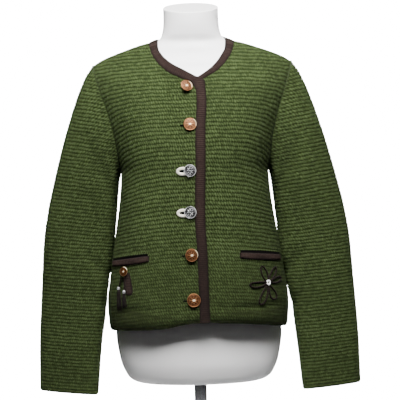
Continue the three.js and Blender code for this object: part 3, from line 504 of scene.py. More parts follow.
def panel_line(face, side, share, samples):
    """Points x and z of a panel's column, from the hem up, at a share of its width."""
    v = np.asarray(samples, float)
    low = np.minimum(1, v / LOW_SHARE)
    high = np.clip((v - LOW_SHARE) / (1 - LOW_SHARE), 0, 1)
    below = read(BODY, "z", BACK_HEM_Z + (ARMPIT_Z - BACK_HEM_Z) * low, "half")
    above = read(ARMHOLE, "z", ARMPIT_Z + (TIP_Z - ARMPIT_Z) * high, face)
    out_x = np.where(v < LOW_SHARE, below, above)
    if face == "back":
        station = abs(share) * TIP_X
        x = share * out_x
        hem = np.full(len(v), BACK_HEM_Z)
        top = shoulder_z(station) if station >= NECK_X else read(BACK_NECK, "x", station, "z")
        return x, hem + (ARMPIT_Z - hem) * low + (top - ARMPIT_Z) * high
    first = SEAM - EDGE_LEFT if side < 0 else UNDERLAP_X
    near = max(0.0, 1 - share * (TIP_X - first) / (22 - first)) if side < 0 else 0.0
    station = first + (TIP_X - first) * share + (V_CORNER - first) * near
    x = first + (out_x - first) * share
    x = x + near * (V_CORNER - first) * blend_step((high - 0.9) / 0.1)
    hem = read(FRONT_HEM, "x", side * x, "z")
    top = shoulder_z(station) if station >= NECK_X else read(FRONT_NECK, "x", station, "z")
    return side * x, hem + (ARMPIT_Z - hem) * low + (top - ARMPIT_Z) * high


def edge_fade(distance, reach):
    return 1 - np.exp(-((distance / reach) ** 2))


def hem_shade(x, z):
    """Painted shade: the soft dark crease above the hem, and the darker turned band below it."""
    crease = 285 - 6 * bell(np.abs(x), 60, 60) + 3 * np.sin(x * 0.03)
    reach = blend_step((np.abs(x) - 35) / 40)
    line = 0.6 * bell(z, crease, 4.5) * reach
    band = 0.44 * blend_step((crease - z) / 12) * (0.5 + 0.5 * reach)
    return 1 - np.clip(line + band, 0, 0.8)


def knit_panel(name, face, side, columns):
    """A front or the back: columns from the viewer's left to the right."""
    shell = Shell()
    fine = np.linspace(0, 1, PANEL_SAMPLES)
    step = 1 / ROWS_IN_RIDGE

    def point_at(x, z):
        return body_point("back", x, z) if face == "back" else front_point(side, x, z)

    def column(share, step):
        """A column at whole steps of the ridges, turned in a little along the hem."""
        x, z = panel_line(face, side, share, fine)
        v, at = aligned(row_height(x, z, read(BODY, "z", z, "half")), step)
        x, z = panel_line(face, side, share, v)
        normal = surface_normals(point_at, x, z, face == "back")
        aside = np.clip(np.abs(x) / read(BODY, "z", z, "half"), 0, 1)
        turned_in = HEM_ROLL * bell(at, at[0], 1.3) * (1 - aside**4)
        return x, z, aside, at, point_at(x, z) - normal * turned_in[:, None], normal

    shares = np.linspace(-1.0 if face == "back" else 0.0, 1.0, columns)
    if side <= 0:
        shares = shares[::-1]
    for share in shares:
        x, z, aside, at, base, normal = column(share, step)
        across = x * (1 + 0.2 * aside**2 + 0.3 * aside**6)
        uv = knit_uv(across, across, at, (0.31, 0.11, 0.37), 0.07)
        height, ridge = knit_height(uv[:, 0], uv[:, 1])
        gap_side = (1 - abs(share)) * TIP_X
        gap_mid = share * (TIP_X - UNDERLAP_X) if face == "front" else 1e3
        seam = edge_fade(gap_side, 2.0) * edge_fade(at[-1] - at, 0.27) * edge_fade(gap_mid, 2.2)
        hem = edge_fade(at - at[0], 0.4)
        calm = 0.66 + 0.34 * blend_step((z - 360) / 90)
        under_lap = side > 0 and abs(x[0]) < 14
        lift = RIDGE_TOP + (height - 1) * RIDGE_DEPTH * (0.35 if under_lap else 1.0) * calm
        lift = lift * seam * hem - SEAM_DIP * (1 - seam) - HEM_DIP * (1 - hem)
        # The tone: painted shade in the valleys between ridges and in the dips at the seams and the
        # hem.
        shade = (1 - (1 - ridge) * calm) * (0.6 + 0.4 * seam) * (0.6 + 0.4 * hem)
        if face == "front":
            # Painted shade on the fronts: the hem's crease and turned band, and the cloth darker
            # towards the bottom, as the light falls from above.
            shade = shade * hem_shade(x, z) * (0.7 + 0.3 * blend_step((z - 320) / 140))
        shell.add_outer(wave_aside(base + normal * lift[:, None]), at, uv, shade)
    for share in shares[::4]:
        x, z, aside, at, base, normal = column(share, step * 6)
        shell.add_inner(wave_aside(base - normal * WALL), at, np.stack([x / STITCH, at], -1))
    return shell.close(name)


def along_line(tab, share):
    lengths = running(np.stack([tab["x"], tab["z"]], -1))
    measured = {"at": lengths / lengths[-1], **tab}
    return read(measured, "at", share, "x"), read(measured, "at", share, "z")


def sleeve_section(along, turn):
    outer_x, outer_z = along_line(SLEEVE_OUTER, along)
    inner_x, inner_z = along_line(SLEEVE_INNER, along)
    across = squared(np.cos(turn), 2 / SLEEVE_SQUARE)
    x = (outer_x + inner_x) / 2 + (outer_x - inner_x) * across / 2
    z = (outer_z + inner_z) / 2 + (outer_z - inner_z) * across / 2
    half = read(SLEEVE_DEPTH, "along", along, "half")
    deep = squared(np.sin(turn), 2 / SLEEVE_SQUARE)
    return np.stack([x, read(SLEEVE_DEPTH, "along", along, "centre") - half * deep, z], -1)


def armhole_point(turn):
    z = ARMHOLE_MID + ARMHOLE_HALF * np.cos(turn)
    front = np.sin(turn) >= 0
    ahead = body_point("front", read(ARMHOLE, "z", z, "front"), z)
    behind = body_point("back", read(ARMHOLE, "z", z, "back"), z)
    return np.where(front[..., None], ahead, behind)


def sleeve_plain(along, turn):
    point = sleeve_section(along, turn)
    fade = np.maximum(0, 1 - along / CAP_FADE) ** 2
    shift = armhole_point(turn) - sleeve_section(np.zeros(np.shape(along)), turn)
    return point + shift * fade[..., None]


def sleeve_normals(point_at, along, turn):
    e = 0.004
    down = point_at(np.clip(along + e, 0, 1), turn) - point_at(np.clip(along - e, 0, 1), turn)
    round_it = point_at(along, turn + e) - point_at(along, turn - e)
    return unit(np.cross(round_it, down))


def sleeve_fold(along, turn):
    rise = np.zeros(np.shape(along))
    for at, at_turn, length, arc, most in zip(*SLEEVE_FOLDS.values()):
        away = np.arctan2(np.sin(turn - at_turn), np.cos(turn - at_turn))
        rise = rise + most * np.exp(-(((along - at) / length) ** 2) - (away / arc) ** 2)
    return rise * blend_step(along / 0.08) * blend_step((1 - along) / 0.05)


def sleeve_point(along, turn):
    plain = sleeve_plain(along, turn)
    normal = sleeve_normals(sleeve_plain, along, turn)
    return plain + normal * sleeve_fold(along, turn)[..., None]


def sleeve_row(x, z):
    """How far down a sleeve a knitted row lies."""
    outer = np.interp(-z, -SLEEVE_OUTER["z"], SLEEVE_OUTER["x"])
    inner = np.interp(-z, -SLEEVE_INNER["z"], SLEEVE_INNER["x"])
    middle = (outer + np.where(z > ARMPIT_Z, 147.0 + (z - ARMPIT_Z) * 0.24, inner)) / 2
    down = (TIP_Z - z + read(ROW_SLOPE, "z", z, "slope") * (x - middle)) * 1.02
    return np.interp(down, *SLEEVE_COUNT) + down * 1e-3


def knit_sleeve(name, side, columns):
    shell = Shell()
    fine = np.linspace(0, 1, SLEEVE_SAMPLES)
    step = 1 / 6
    even = np.linspace(-math.pi, math.pi, 1441)
    ring = sleeve_point(np.full(1441, 0.45), even)
    arc = running(ring)
    weight = np.cumsum(np.where(even > 0, 1.0, 0.52) * np.gradient(arc))
    turns = np.interp(np.linspace(weight[0], weight[-1], columns), weight, even)
    arcs = np.interp(turns, even, arc) - np.interp(math.pi / 2, even, arc)
    order = range(columns - 1, -1, -1) if side > 0 else range(columns)

    def column(j, wide):
        turn = np.full(len(fine), turns[j])
        rough = sleeve_plain(fine, turn)
        at = np.maximum.accumulate(sleeve_row(rough[:, 0], rough[:, 2]))
        share, at = aligned(at + fine * 1e-3, wide)
        along = np.interp(share, np.linspace(0, 1, len(fine)), fine)
        turn = np.full(len(along), turns[j])
        base = sleeve_point(along, turn)
        normal = sleeve_normals(sleeve_point, along, turn)
        base[:, 0] *= side
        normal[:, 0] *= side
        outer_x, outer_z = along_line(SLEEVE_OUTER, along)
        inner_x, inner_z = along_line(SLEEVE_INNER, along)
        girth = (outer_x - inner_x) / 130.0
        across = arcs[j] * (0.35 + 0.65 * girth)
        uv = knit_uv(across, arcs[j], at, (0.3, 0.12, 0.4), 0.06)
        middle = (outer_x + inner_x) / 2
        inward = blend_step((middle - np.abs(base[:, 0])) / (outer_x - inner_x) * 2)
        most, hug_z, reach = HUG[side]
        hug = most * np.exp(-np.abs((base[:, 2] - hug_z) / reach) ** 4)
        base[:, 0] -= side * hug * inward
        return base, normal, at, uv

    for j in order:
        base, normal, at, uv = column(j, step)
        height, ridge = knit_height(uv[:, 0], uv[:, 1])
        seam = edge_fade(at - at[0], 0.27)
        cuff = edge_fade(at[-1] - at, 0.36)
        lift = RIDGE_TOP + (height - 1) * RIDGE_DEPTH
        lift = lift * seam * cuff - SEAM_DIP * (1 - seam) - HEM_DIP * (1 - cuff)
        # The tone: painted shade in the valleys between ridges and in the dips at the seam and the
        # cuff.
        shade = ridge * (0.6 + 0.4 * seam) * (0.6 + 0.4 * cuff)
        shell.add_outer(base + normal * lift[:, None], at, uv, shade)
    for j in list(order)[::5]:
        base, normal, at, uv = column(j, step * 7)
        shell.add_inner(base - normal * WALL, at, uv)
    return shell.close(name)


def armhole_seam(name, side):
    """The seam's allowance on the inside of an armhole, as a thick line of yarn."""
    turn = np.linspace(0, 2 * math.pi, 240)
    line = armhole_point(turn)
    line[:, 0] -= 1.2
    line[:, 1] *= 1 - 2.2 / np.maximum(np.abs(line[:, 1]), 8.0)
    line[:, 0] *= side
    part, at = tube(line, 2.5, 10)
    shade = np.repeat(0.35 + 0.25 * np.cos(2 * math.pi * at / 5), 10)
    return soup_object(name, [part], np.concatenate([shade, [0.3, 0.3]]))


def strip_piece(name, rows, inner, uv, shade):
    """A closed wall between an outer and an inner grid of points with the same shape."""
    lines, spots = rows.shape[:2]
    count = lines * spots
    points = np.concatenate([rows.reshape(-1, 3), inner.reshape(-1, 3)])
    i, j = np.meshgrid(np.arange(lines - 1), np.arange(spots - 1), indexing="ij")
    a = (i * spots + j).ravel()
    b, c, d = a + 1, a + spots + 1, a + spots
    faces = [np.stack([a, b, c, d], 1), np.stack([a, d, c, b], 1) + count]
    j = np.arange(spots - 1)
    top = (lines - 1) * spots + j
    faces.append(np.stack([j, j + count, j + count + 1, j + 1], 1))
    faces.append(np.stack([top, top + 1, top + count + 1, top + count], 1))
    i = np.arange(lines - 1) * spots
    faces.append(np.stack([i, i + spots, i + spots + count, i + count], 1))
    i = i + spots - 1
    faces.append(np.stack([i, i + count, i + spots + count, i + spots], 1))
    both_uv = np.concatenate([uv.reshape(-1, 2)] * 2)
    both_shade = np.concatenate([shade.ravel(), np.full(count, 0.3)])
    return make_object(name, points, np.concatenate(faces), both_uv, both_shade)


def rib_height(length, across, pitch):
    """The bindings' fine ribs: narrow ridges across the strip with small stitches in them."""
    purl = cycle(across / RIB_STITCH + 0.5 * np.floor(length / pitch))
    return cycle(length / pitch) ** 0.7 * (0.8 + 0.2 * purl)


RIB_PITCH = 3.7
RIB_STITCH = 3.2
OVERLAP = 1.2
EDGE_WIDE = 17.0
STRIP_SHARE = np.linspace(0, 1, 13)


def binding(name, rows, normal, across, at, tone, fade=1.0):
    """A ribbed strip over a grid of points, raised and rounded between its edges."""
    ribs = rib_height(at, across, RIB_PITCH)
    crown = np.clip(1 - np.abs(2 * STRIP_SHARE - 1) ** 3.2, 0, 1)[None]
    lift = 1.9 * crown - 0.35 + 0.4 * (ribs - 0.6)
    outer = wave_aside(rows + normal * lift[..., None])
    inner = wave_aside(rows - normal * WALL)
    uv = np.stack(np.broadcast_arrays(across / RIB_STITCH, at / RIB_PITCH), -1)
    # Painted shade in the ribs' valleys and along the strip's rounded sides, times fade.
    shade = (tone + (1 - tone) * ribs) * (0.45 + 0.55 * crown) * fade
    return strip_piece(name, outer, inner, uv, shade)


def grid_normals(rows):
    return unit(np.cross(np.gradient(rows, axis=1), np.gradient(rows, axis=0)))


def neck_binding():
    """Round the neck, from under the lap at the left front to the right front's V."""
    ahead = np.linspace(V_CORNER, NECK_X, 110)
    behind = np.linspace(NECK_X, 0, 80)[1:]

    def inner_line(tab, x):
        return read(tab, "x", x, "innerX"), read(tab, "x", x, "innerZ")

    def front_pair(side, x):
        inner_x, inner_z = inner_line(NECK_FREE[side], x)
        edge = front_point(side, side * x, read(FRONT_NECK, "x", x, "z"))
        return edge, front_point(side, side * inner_x, inner_z)

    def back_pair(side, x):
        inner_x, inner_z = inner_line(BACK_NECK, x)
        edge = body_point("back", side * x, read(BACK_NECK, "x", x, "z"))
        free = body_point("back", side * inner_x, inner_z)
        free[:, 2] += (6 if side > 0 else 0) * bell(x, 66, 17) * blend_step((NECK_X - x) / 6)
        return edge, free

    pairs = (
        front_pair(1, ahead), back_pair(1, behind), back_pair(-1, behind[::-1][1:]),
        front_pair(-1, ahead[::-1]),
    )
    edge, free = (np.concatenate([pair[i] for pair in pairs]) for i in (0, 1))
    for line in (edge, free):
        for _ in range(3):
            line[2:-2] = (line[1:-3] + 2 * line[2:-2] + line[3:-1]) / 4
    width = np.linalg.norm(free - edge, axis=-1)[:, None]
    start = -OVERLAP / width
    share = start + (1 - start) * STRIP_SHARE
    rows = edge[:, None] + (free - edge)[:, None] * share[..., None]
    at = running(rows[:, len(STRIP_SHARE) // 2])[:, None]
    normal = -grid_normals(rows)
    return binding("neck_binding_knit", rows, normal, STRIP_SHARE[None] * width, at, 0.5)


def edge_binding():
    """Down the right front's edge, with a mitred corner at the top of the lap."""
    high = np.linspace(0, 1, 400)
    x, z = panel_line("front", -1, 0.0, high)
    place = np.clip((high - LOW_SHARE) / (1 - LOW_SHARE), 0, 1)
    point = blend_step((place - 0.86) / 0.14)
    share = STRIP_SHARE
    peak = np.where(share < 0.35, share / 0.35, (1 - share) / 0.65)
    lift = 10 * peak + 2.5 * share
    start = x[:, None] - OVERLAP
    xs = start + (EDGE_RIGHT + 1.2 - start) * share[None]
    zs = z[:, None] + point[:, None] * (lift[None] + SEAM)
    rows = front_point(-1, xs, zs)
    # Painted shade: the strip darker towards the bottom, as the light falls from above.
    fade = 0.62 + 0.38 * blend_step((zs - 270) / 260)
    across = share[None] * EDGE_WIDE
    return binding("edge_binding_knit", rows, grid_normals(rows), across, zs, 0.45, fade)


def seat_on_front(x, z, distance):
    """Points on the fronts, a distance out from the cloth, with the cloth's directions."""
    x, z = np.broadcast_arrays(np.asarray(x, float), np.asarray(z, float))
    e = 2.0

    def at(px, pz):
        left = (x > EDGE_RIGHT)[..., None]
        return np.where(left, front_point(1, px, pz), front_point(-1, px, pz))

    normal = unit(np.cross(at(x + e, z) - at(x - e, z), at(x, z + e) - at(x, z - e)))
    return at(x, z) + normal * np.asarray(distance, float)[..., None], normal


def on_front(x, z, distance):
    return seat_on_front(x, z, distance)[0]


def front_strip(name, xs, zs, lift, under, uv, shade):
    """A strip lying on the fronts, between two heights over the cloth."""
    uv = np.stack(np.broadcast_arrays(*uv), -1)
    return strip_piece(name, on_front(xs, zs, lift), on_front(xs, zs, under), uv, shade)


def pocket_pieces(name):
    """A pocket's band, the lip above it, and the mouth between them as a dark sheet of painted
    shadow.
    """
    from_x, from_z, to_x, to_z = POCKETS[name]
    share = np.linspace(0, 1, 84)
    length = share[None] * math.hypot(to_x - from_x, to_z - from_z)
    bow = np.sin(math.pi * share)[None]
    ends = edge_fade(share * POCKET_LONG, 1.6) * edge_fade((1 - share) * POCKET_LONG, 1.6)
    ends = ends[None]

    def places(above, inset=0):
        xs = from_x + inset + (to_x - from_x - 2 * inset) * np.broadcast_to(share, above.shape)
        return xs, from_z + (to_z - from_z) * share[None] + above

    level = np.linspace(-1, 1, 15)[:, None]
    half = (POCKET_HALF - 0.9) * (1 - 0.14 * cycle(share) ** 6)
    ribs = rib_height(length, level * POCKET_HALF, 2.9)
    crown = np.clip(1 - np.abs(level) ** 3.5, 0, 1) * ends
    lift = BAND_GAP + 0.6 + 2.3 * crown + 0.2 * (ribs - 0.5) * crown
    streak = 0.2 * bell(level, -0.1, 0.35) * np.sin(length / 9.0)
    # Painted shade in the ribs' valleys and along the band's rounded edges.
    shade = (0.62 + 0.2 * ribs + streak) * (0.4 + 0.6 * crown)
    band = front_strip(
        f"pocket_band_{name}_knit", *places(level * half - 0.9), lift, BAND_GAP - 0.7,
        (level * 2.3, length / RIB_PITCH), shade,
    )

    level = np.linspace(0, 1, 9)[:, None]
    lumps = cycle(length / 5.2)
    lift = BAND_GAP - 0.3 + 1.7 * np.sin(math.pi * level) * ends * (0.75 + 0.25 * lumps)
    # Painted shadow: the lip darkens to near black along its lower edge, over the mouth.
    shade = (0.04 + 0.9 * level**1.4) * (0.7 + 0.3 * lumps)
    lip = front_strip(
        f"pocket_lip_{name}_knit", *places(POCKET_HALF + 0.6 + 1.6 * bow + level * 3.0), lift,
        -0.6, (length / STITCH, level * 0.5), shade,
    )

    # The mouth: a dark sheet of painted shadow, lying between band and lip.
    above = POCKET_HALF - 3.4 + np.linspace(0, 1, 5)[:, None] * (5.0 + 1.6 * bow)
    none = np.zeros(above.shape)
    mouth = front_strip(
        f"pocket_mouth_shadow_{name}", *places(above, 2), 1.7, 0.4, (none, none), none
    )
    return band, lip, mouth


def ring_quads(count, sides, closed=False, turned=False):
    """Quads between rings of points; closed joins the last ring to the first."""
    k, j = np.meshgrid(np.arange(count - (not closed)), np.arange(sides), indexing="ij")
    a, b = k * sides, (k + 1) % count * sides
    j2 = (j + 1) % sides
    quads = (a + j, b + j, b + j2, a + j2) if turned else (a + j, a + j2, b + j2, b + j)
    return np.stack(quads, -1).reshape(-1, 4).tolist()


def cap_tris(count, sides, turned=False):
    """Triangles that close the first and the last ring to the two points after them."""
    last = (count - 1) * sides
    tris = []
    for j in range(sides):
        a, b = (j, (j + 1) % sides) if turned else ((j + 1) % sides, j)
        tris += [(count * sides, a, b), (count * sides + 1, last + b, last + a)]
    return tris


def tube(points, radius, sides, radius_at=None, twist=0.0, lobes=0):
    """A tube round a line of points, as a part for soup_object, and the lengths along it."""
    points = np.asarray(points, float)
    tangent = unit(np.gradient(points, axis=0))
    normal = np.cross(tangent[0], (0.0, 1.0, 0.0))
    if np.linalg.norm(normal) < 0.1:
        normal = np.cross(tangent[0], (1.0, 0.0, 0.0))
    at = running(points)
    turn = circle(sides)
    rings = []
    for k, t in enumerate(tangent):
        normal = unit(normal - t * np.dot(normal, t))
        r = radius * (1.0 if radius_at is None else radius_at[k])
        swell = 1 + (0.16 if lobes else 0.0) * np.cos(lobes * (turn - twist * at[k]))
        way = np.cos(turn)[:, None] * normal + np.sin(turn)[:, None] * np.cross(t, normal)
        rings.append(points[k] + r * swell[:, None] * way)
    verts = np.concatenate(rings + [points[:1], points[-1:]])
    return (verts, ring_quads(len(points), sides), cap_tris(len(points), sides)), at


def soup_object(name, parts, shade=None):
    """One object from several sets of points with quads and triangles."""
    mesh = bpy.data.meshes.new(name)
    points, faces = [], []
    shift = 0
    for verts, quads, tris in parts:
        points.append(np.asarray(verts, float) * MM)
        for face in list(quads) + list(tris):
            faces.append(tuple(int(v) + shift for v in face))
        shift += len(verts)
    mesh.from_pydata(np.concatenate(points).tolist(), [], faces)
    mesh.polygons.foreach_set("use_smooth", np.ones(len(faces), bool))
    mesh.validate()
    # The height attribute is the tone the materials read, with painted shade and painted glints in
    # it.
    if shade is not None:
        layer = mesh.attributes.new("height", "FLOAT", "POINT")
        layer.data.foreach_set("value", np.asarray(shade, np.float32))
    obj = bpy.data.objects.new(name, mesh)
    bpy.context.scene.collection.objects.link(obj)
    return obj


def ring_object(name, rings, shade, closed=False):
    """One object from rings of points, each with the same count."""
    count, sides = rings.shape[:2]
    part = (rings.reshape(-1, 3), ring_quads(count, sides, closed, True), [])
    return soup_object(name, [part], shade)


def stand_on(obj, seat, tip=0.0):
    """Stands an object that is drawn along +Z on a point of the cloth."""
    point, normal = seat
    turn_to = Vector((0, 0, 1)).rotation_difference(Vector(normal))
    lean_by = Quaternion((0, 0, 1), math.radians(tip))
    place = Matrix.Translation(Vector(point) * MM) @ (lean_by @ turn_to).to_matrix().to_4x4()
    obj.data.transform(place)
    return obj


BUTTON_SIDES = 72
BUTTON_RADII = np.array([
    0, 0.08, 0.16, 0.24, 0.32, 0.4, 0.48, 0.55, 0.61, 0.66, 0.71, 0.76, 0.81, 0.85, 0.89, 0.93,
    0.96, 0.985, 1.0,
])


def button_mesh(name, spec, shank, lift, pale=1.0):
    """A coin button with a beaded rim, a ring and a rosette of petals in low relief, with painted
    glints on copper and a painted highlight on pewter.
    """
    x, z, radius, metal, tip = spec
    turn = circle(BUTTON_SIDES)
    r, t = np.meshgrid(BUTTON_RADII, turn, indexing="ij")
    relief = 0.55 * bell(r, 0.4, 0.17) * (0.5 + 0.5 * np.cos(8 * t))
    relief = relief + 0.5 * bell(r, 0, 0.13) + 0.42 * bell(r, 0.68, 0.035)
    relief = relief + 0.4 * bell(r, 0.8, 0.05) * (0.35 + 0.65 * (0.5 + 0.5 * np.cos(24 * t)))
    relief = relief + 0.75 * bell(r, 0.945, 0.04)
    height = 2.0 + 0.9 * (1 - r**2) + relief - 0.5
    height = np.where(r > 0.97, 1.3 + (1.0 - r) / 0.03 * 1.1, height)
    face = np.stack([r * radius * np.cos(t), r * radius * np.sin(t), height], -1)
    profile = (
        (radius - 0.2, 0.5), (radius - 1.0, 0.0), (SHANK + 0.6, 0.0), (SHANK, -0.6),
        (SHANK, -shank + 0.3), (SHANK - 0.4, -shank), (0.0, -shank),
    )
    back = [
        np.stack([q * np.cos(turn), q * np.sin(turn), np.full(BUTTON_SIDES, h)], -1)
        for q, h in profile
    ]
    if metal == "copper":
        # Painted glints on copper: a pale crescent on the rim and a pale spot in the middle, as
        # reflections of the white studio.
        painted_rim_glint = np.clip((r - 0.82) / 0.1, 0, 1) * np.clip((np.cos(t - 0.3) - 0.5) / 0.35, 0, 1)
        if "button_6" in name:
            painted_rim_glint = 0.0 * painted_rim_glint
        aside = np.hypot(r * np.cos(t) - 0.02, 1.4 * (r * np.sin(t) + 0.02))
        painted_centre_glint = np.clip((0.3 - aside) / 0.1, 0, 1)
        tone = 0.62 * np.clip(relief / 0.8, 0, 1) + 0.08
        tone = np.maximum(tone, pale * np.maximum(painted_rim_glint, painted_centre_glint))
    else:
        # Painted highlight on pewter: the raised relief lighter on one side, in a sweep round the
        # button.
        painted_gleam = 0.5 + 0.5 * np.sin(2.0 * t + 7 * r + 1)
        tone = np.clip(relief / 0.62, 0, 1) ** 1.3 * (0.35 + 0.6 * painted_gleam)
    shade = np.concatenate([tone.ravel(), np.full(len(back) * BUTTON_SIDES, 0.3)])
    obj = ring_object(name, np.concatenate([face, back]), np.clip(shade, 0, 1))
    return stand_on(obj, seat_on_front(x, z, lift), tip)


def worked_ring(name, spec):
    """A buttonhole's oval band of thread, with the stitches laid across it."""
    x, z = spec[0] + RING["shift"] + 2.4, spec[1] - 1.0
    turn, cross = np.meshgrid(circle(150), circle(10), indexing="ij")
    stitch = 0.5 + 0.5 * np.cos(34 * turn)
    out = RING["band"] / 2 * (0.9 + 0.1 * stitch) * np.cos(cross)
    up = 0.4 + RING["thick"] * 0.5 * (1 + (0.82 + 0.18 * stitch) * np.sin(cross))
    px = x + (RING["half_long"] - RING["band"] / 2 - 0.8 + out) * np.cos(turn)
    pz = z + (RING["half_tall"] - RING["band"] / 2 - 1.0 + out) * np.sin(turn)
    # Painted shade between the stitches, where the thread dips.
    return ring_object(name, on_front(px, pz, up), (0.35 + 0.65 * stitch).ravel(), True)


def slit(name, x, z, half_long, half_tall):
    """A buttonhole's slit: a dark sheet lying in the cloth, as painted shadow in the hole."""
    turn = circle(28)

    def oval(size_x, size_z, distance):
        return on_front(x + size_x * np.cos(turn), z + size_z * np.sin(turn), distance)

    verts = np.concatenate([
        oval(half_long, half_tall, 1.15), oval(half_long * 1.1, half_tall * 1.2, -0.9),
        [on_front(x, z, 0.9)], [on_front(x, z, -0.9)],
    ])
    part = (verts, ring_quads(2, len(turn), turned=True), cap_tris(2, len(turn), True))
    return soup_object(name, [part], np.zeros(len(verts)))


TAB_LONG = 47.0


def tab_piece():
    """The knitted tab that hangs from the pocket's button, rounded at its end."""
    share = np.linspace(0, 1, 44)[:, None]
    level = np.linspace(-1, 1, 15)[None]
    end_x, end_z = TAB["end"]
    top_x, top_z = TAB["top"]
    half = TAB["width"] / 2 * np.minimum(1, np.minimum(0.66 + 2.2 * share, 1.12 - 0.42 * share))
    xs = end_x + (top_x - end_x) * share + half * level
    zs = end_z + (top_z - end_z) * share + 2.5 * (1 - blend_step(share * 6)) * level**2
    crown = np.clip(1 - np.abs(level) ** 3, 0, 1) * edge_fade(share * TAB_LONG, 2.0)
    ribs = rib_height(share * TAB_LONG, level * 7, 3.4)
    lift = 0.9 + 2.6 * crown + 0.5 * (ribs - 0.5) * crown
    # Painted shade in the ribs' valleys and along the tab's rounded sides.
    shade = (0.3 + 0.7 * ribs) * (0.35 + 0.65 * crown)
    uv = (level * 2.2, share * TAB_LONG / 3.4)
    return front_strip("pocket_tab_knit", xs, zs, lift, 0.2, uv, shade)


def tassel_pieces(index, spec):
    """A thin cord, a metal bead and a tuft of strands whose roots are in the bead."""
    (top_x, top_z), (bead_x, bead_z), reach, radius, clear = spec
    share = np.linspace(0, 1, 26)
    xs = top_x + (bead_x - top_x) * share + 0.8 * np.sin(math.pi * share)
    line = on_front(xs, top_z + (bead_z - top_z) * share, clear + 0.2)
    parts = [tube(line, 1.2, 10, twist=2.2, lobes=2)[0]]
    shades = [np.full(len(parts[0][0]), 0.75)]
    for k in range(STRANDS):
        turn = 2 * math.pi * hashed(k, index + 1.0)
        wide = radius * 0.62 * math.sqrt(hashed(k, index + 9.0))
        root_x = bead_x + wide * math.cos(turn)
        long = reach * (0.8 + 0.2 * hashed(k, index + 3.0))
        end_x = bead_x + 2.3 * wide * math.cos(turn) + 1.6 * (hashed(k, index + 5.0) - 0.5)
        s = np.linspace(0, 1, 9)
        away = np.maximum(clear - wide * math.sin(turn) * (0.9 - 0.2 * s), 0.8)
        wave = 0.7 * np.sin(s * 5 + 6 * hashed(k, 2.0)) * s
        points = on_front(root_x + (end_x - root_x) * s + wave, bead_z - 1.6 - long * s, away)
        parts.append(tube(points, 0.55, 4, radius_at=1 - 0.3 * s)[0])
        shades.append(np.full(len(parts[-1][0]), 0.35 + 0.6 * hashed(k, 7.0)))
    cord = soup_object(f"pocket_tassel_{index}_yarn", parts, np.concatenate(shades))
    a, turn = np.meshgrid(np.linspace(0.0, math.pi, 14), circle(24), indexing="ij")
    r = radius * (1 - 0.05 * bell(a, math.pi / 2, 0.16)) * np.sin(a)
    ball = np.stack([r * np.cos(turn), r * np.sin(turn), radius * 1.08 * np.cos(a)], -1)
    ball = ball + on_front(bead_x, bead_z, clear)
    bead = ring_object(f"pocket_tassel_{index}_bead", ball, np.full(a.size, 0.7))
    return cord, bead


def flower_yarn():
    """Six petals of chain stitch round the bead, each a loop out and back."""
    parts, shades = [], []
    for k, (right, up) in enumerate(zip(PETALS["right"], PETALS["up"])):
        reach = math.hypot(right, up)
        ax, az = right / reach, up / reach
        t = np.linspace(0, 2 * math.pi, 60)
        out = 3.5 + (reach - 3.5) * (0.5 - 0.5 * np.cos(t))
        wide = (0.13 * reach + 1.5) * np.sin(t) * (0.45 + 0.55 * np.clip(out / reach, 0, 1))
        wide = wide * (1 + 0.25 * hashed(k, 5.0)) + 0.9 * np.sin(2 * t + k)
        x = FLOWER[0] + ax * out - az * wide
        z = FLOWER[1] + az * out + ax * wide
        steps = running(np.stack([x, z], -1))
        s = np.linspace(0, steps[-1], max(8, int(steps[-1] / 0.7)))
        link = cycle(s / 4.4)
        over = 1.2 + 0.12 * k + 0.45 * link
        line = on_front(np.interp(s, steps, x), np.interp(s, steps, z), over)
        parts.append(tube(line, 1.6, 8, radius_at=0.82 + 0.26 * link)[0])
        # Painted shade between the chain's links, where the yarn dips.
        shades += [np.repeat(0.35 + 0.65 * link, 8), [0.5, 0.5]]
    return soup_object("flower_embroidery", parts, np.concatenate(shades))


def flower_bead():
    t, c = np.meshgrid(circle(40), circle(14), indexing="ij")
    r = 3.7 + 1.75 * np.cos(c)
    local = np.stack([r * np.cos(t), r * np.sin(t), 1.6 * np.sin(c)], -1)
    obj = ring_object("flower_bead_ring", local, np.full(t.size, 0.8), True)
    return stand_on(obj, seat_on_front(*FLOWER, 2.4))


FORM_SIDES = 96
FORM_END = 137.0
NECK_BASE = 860.0
NECK_RIM = 1.6


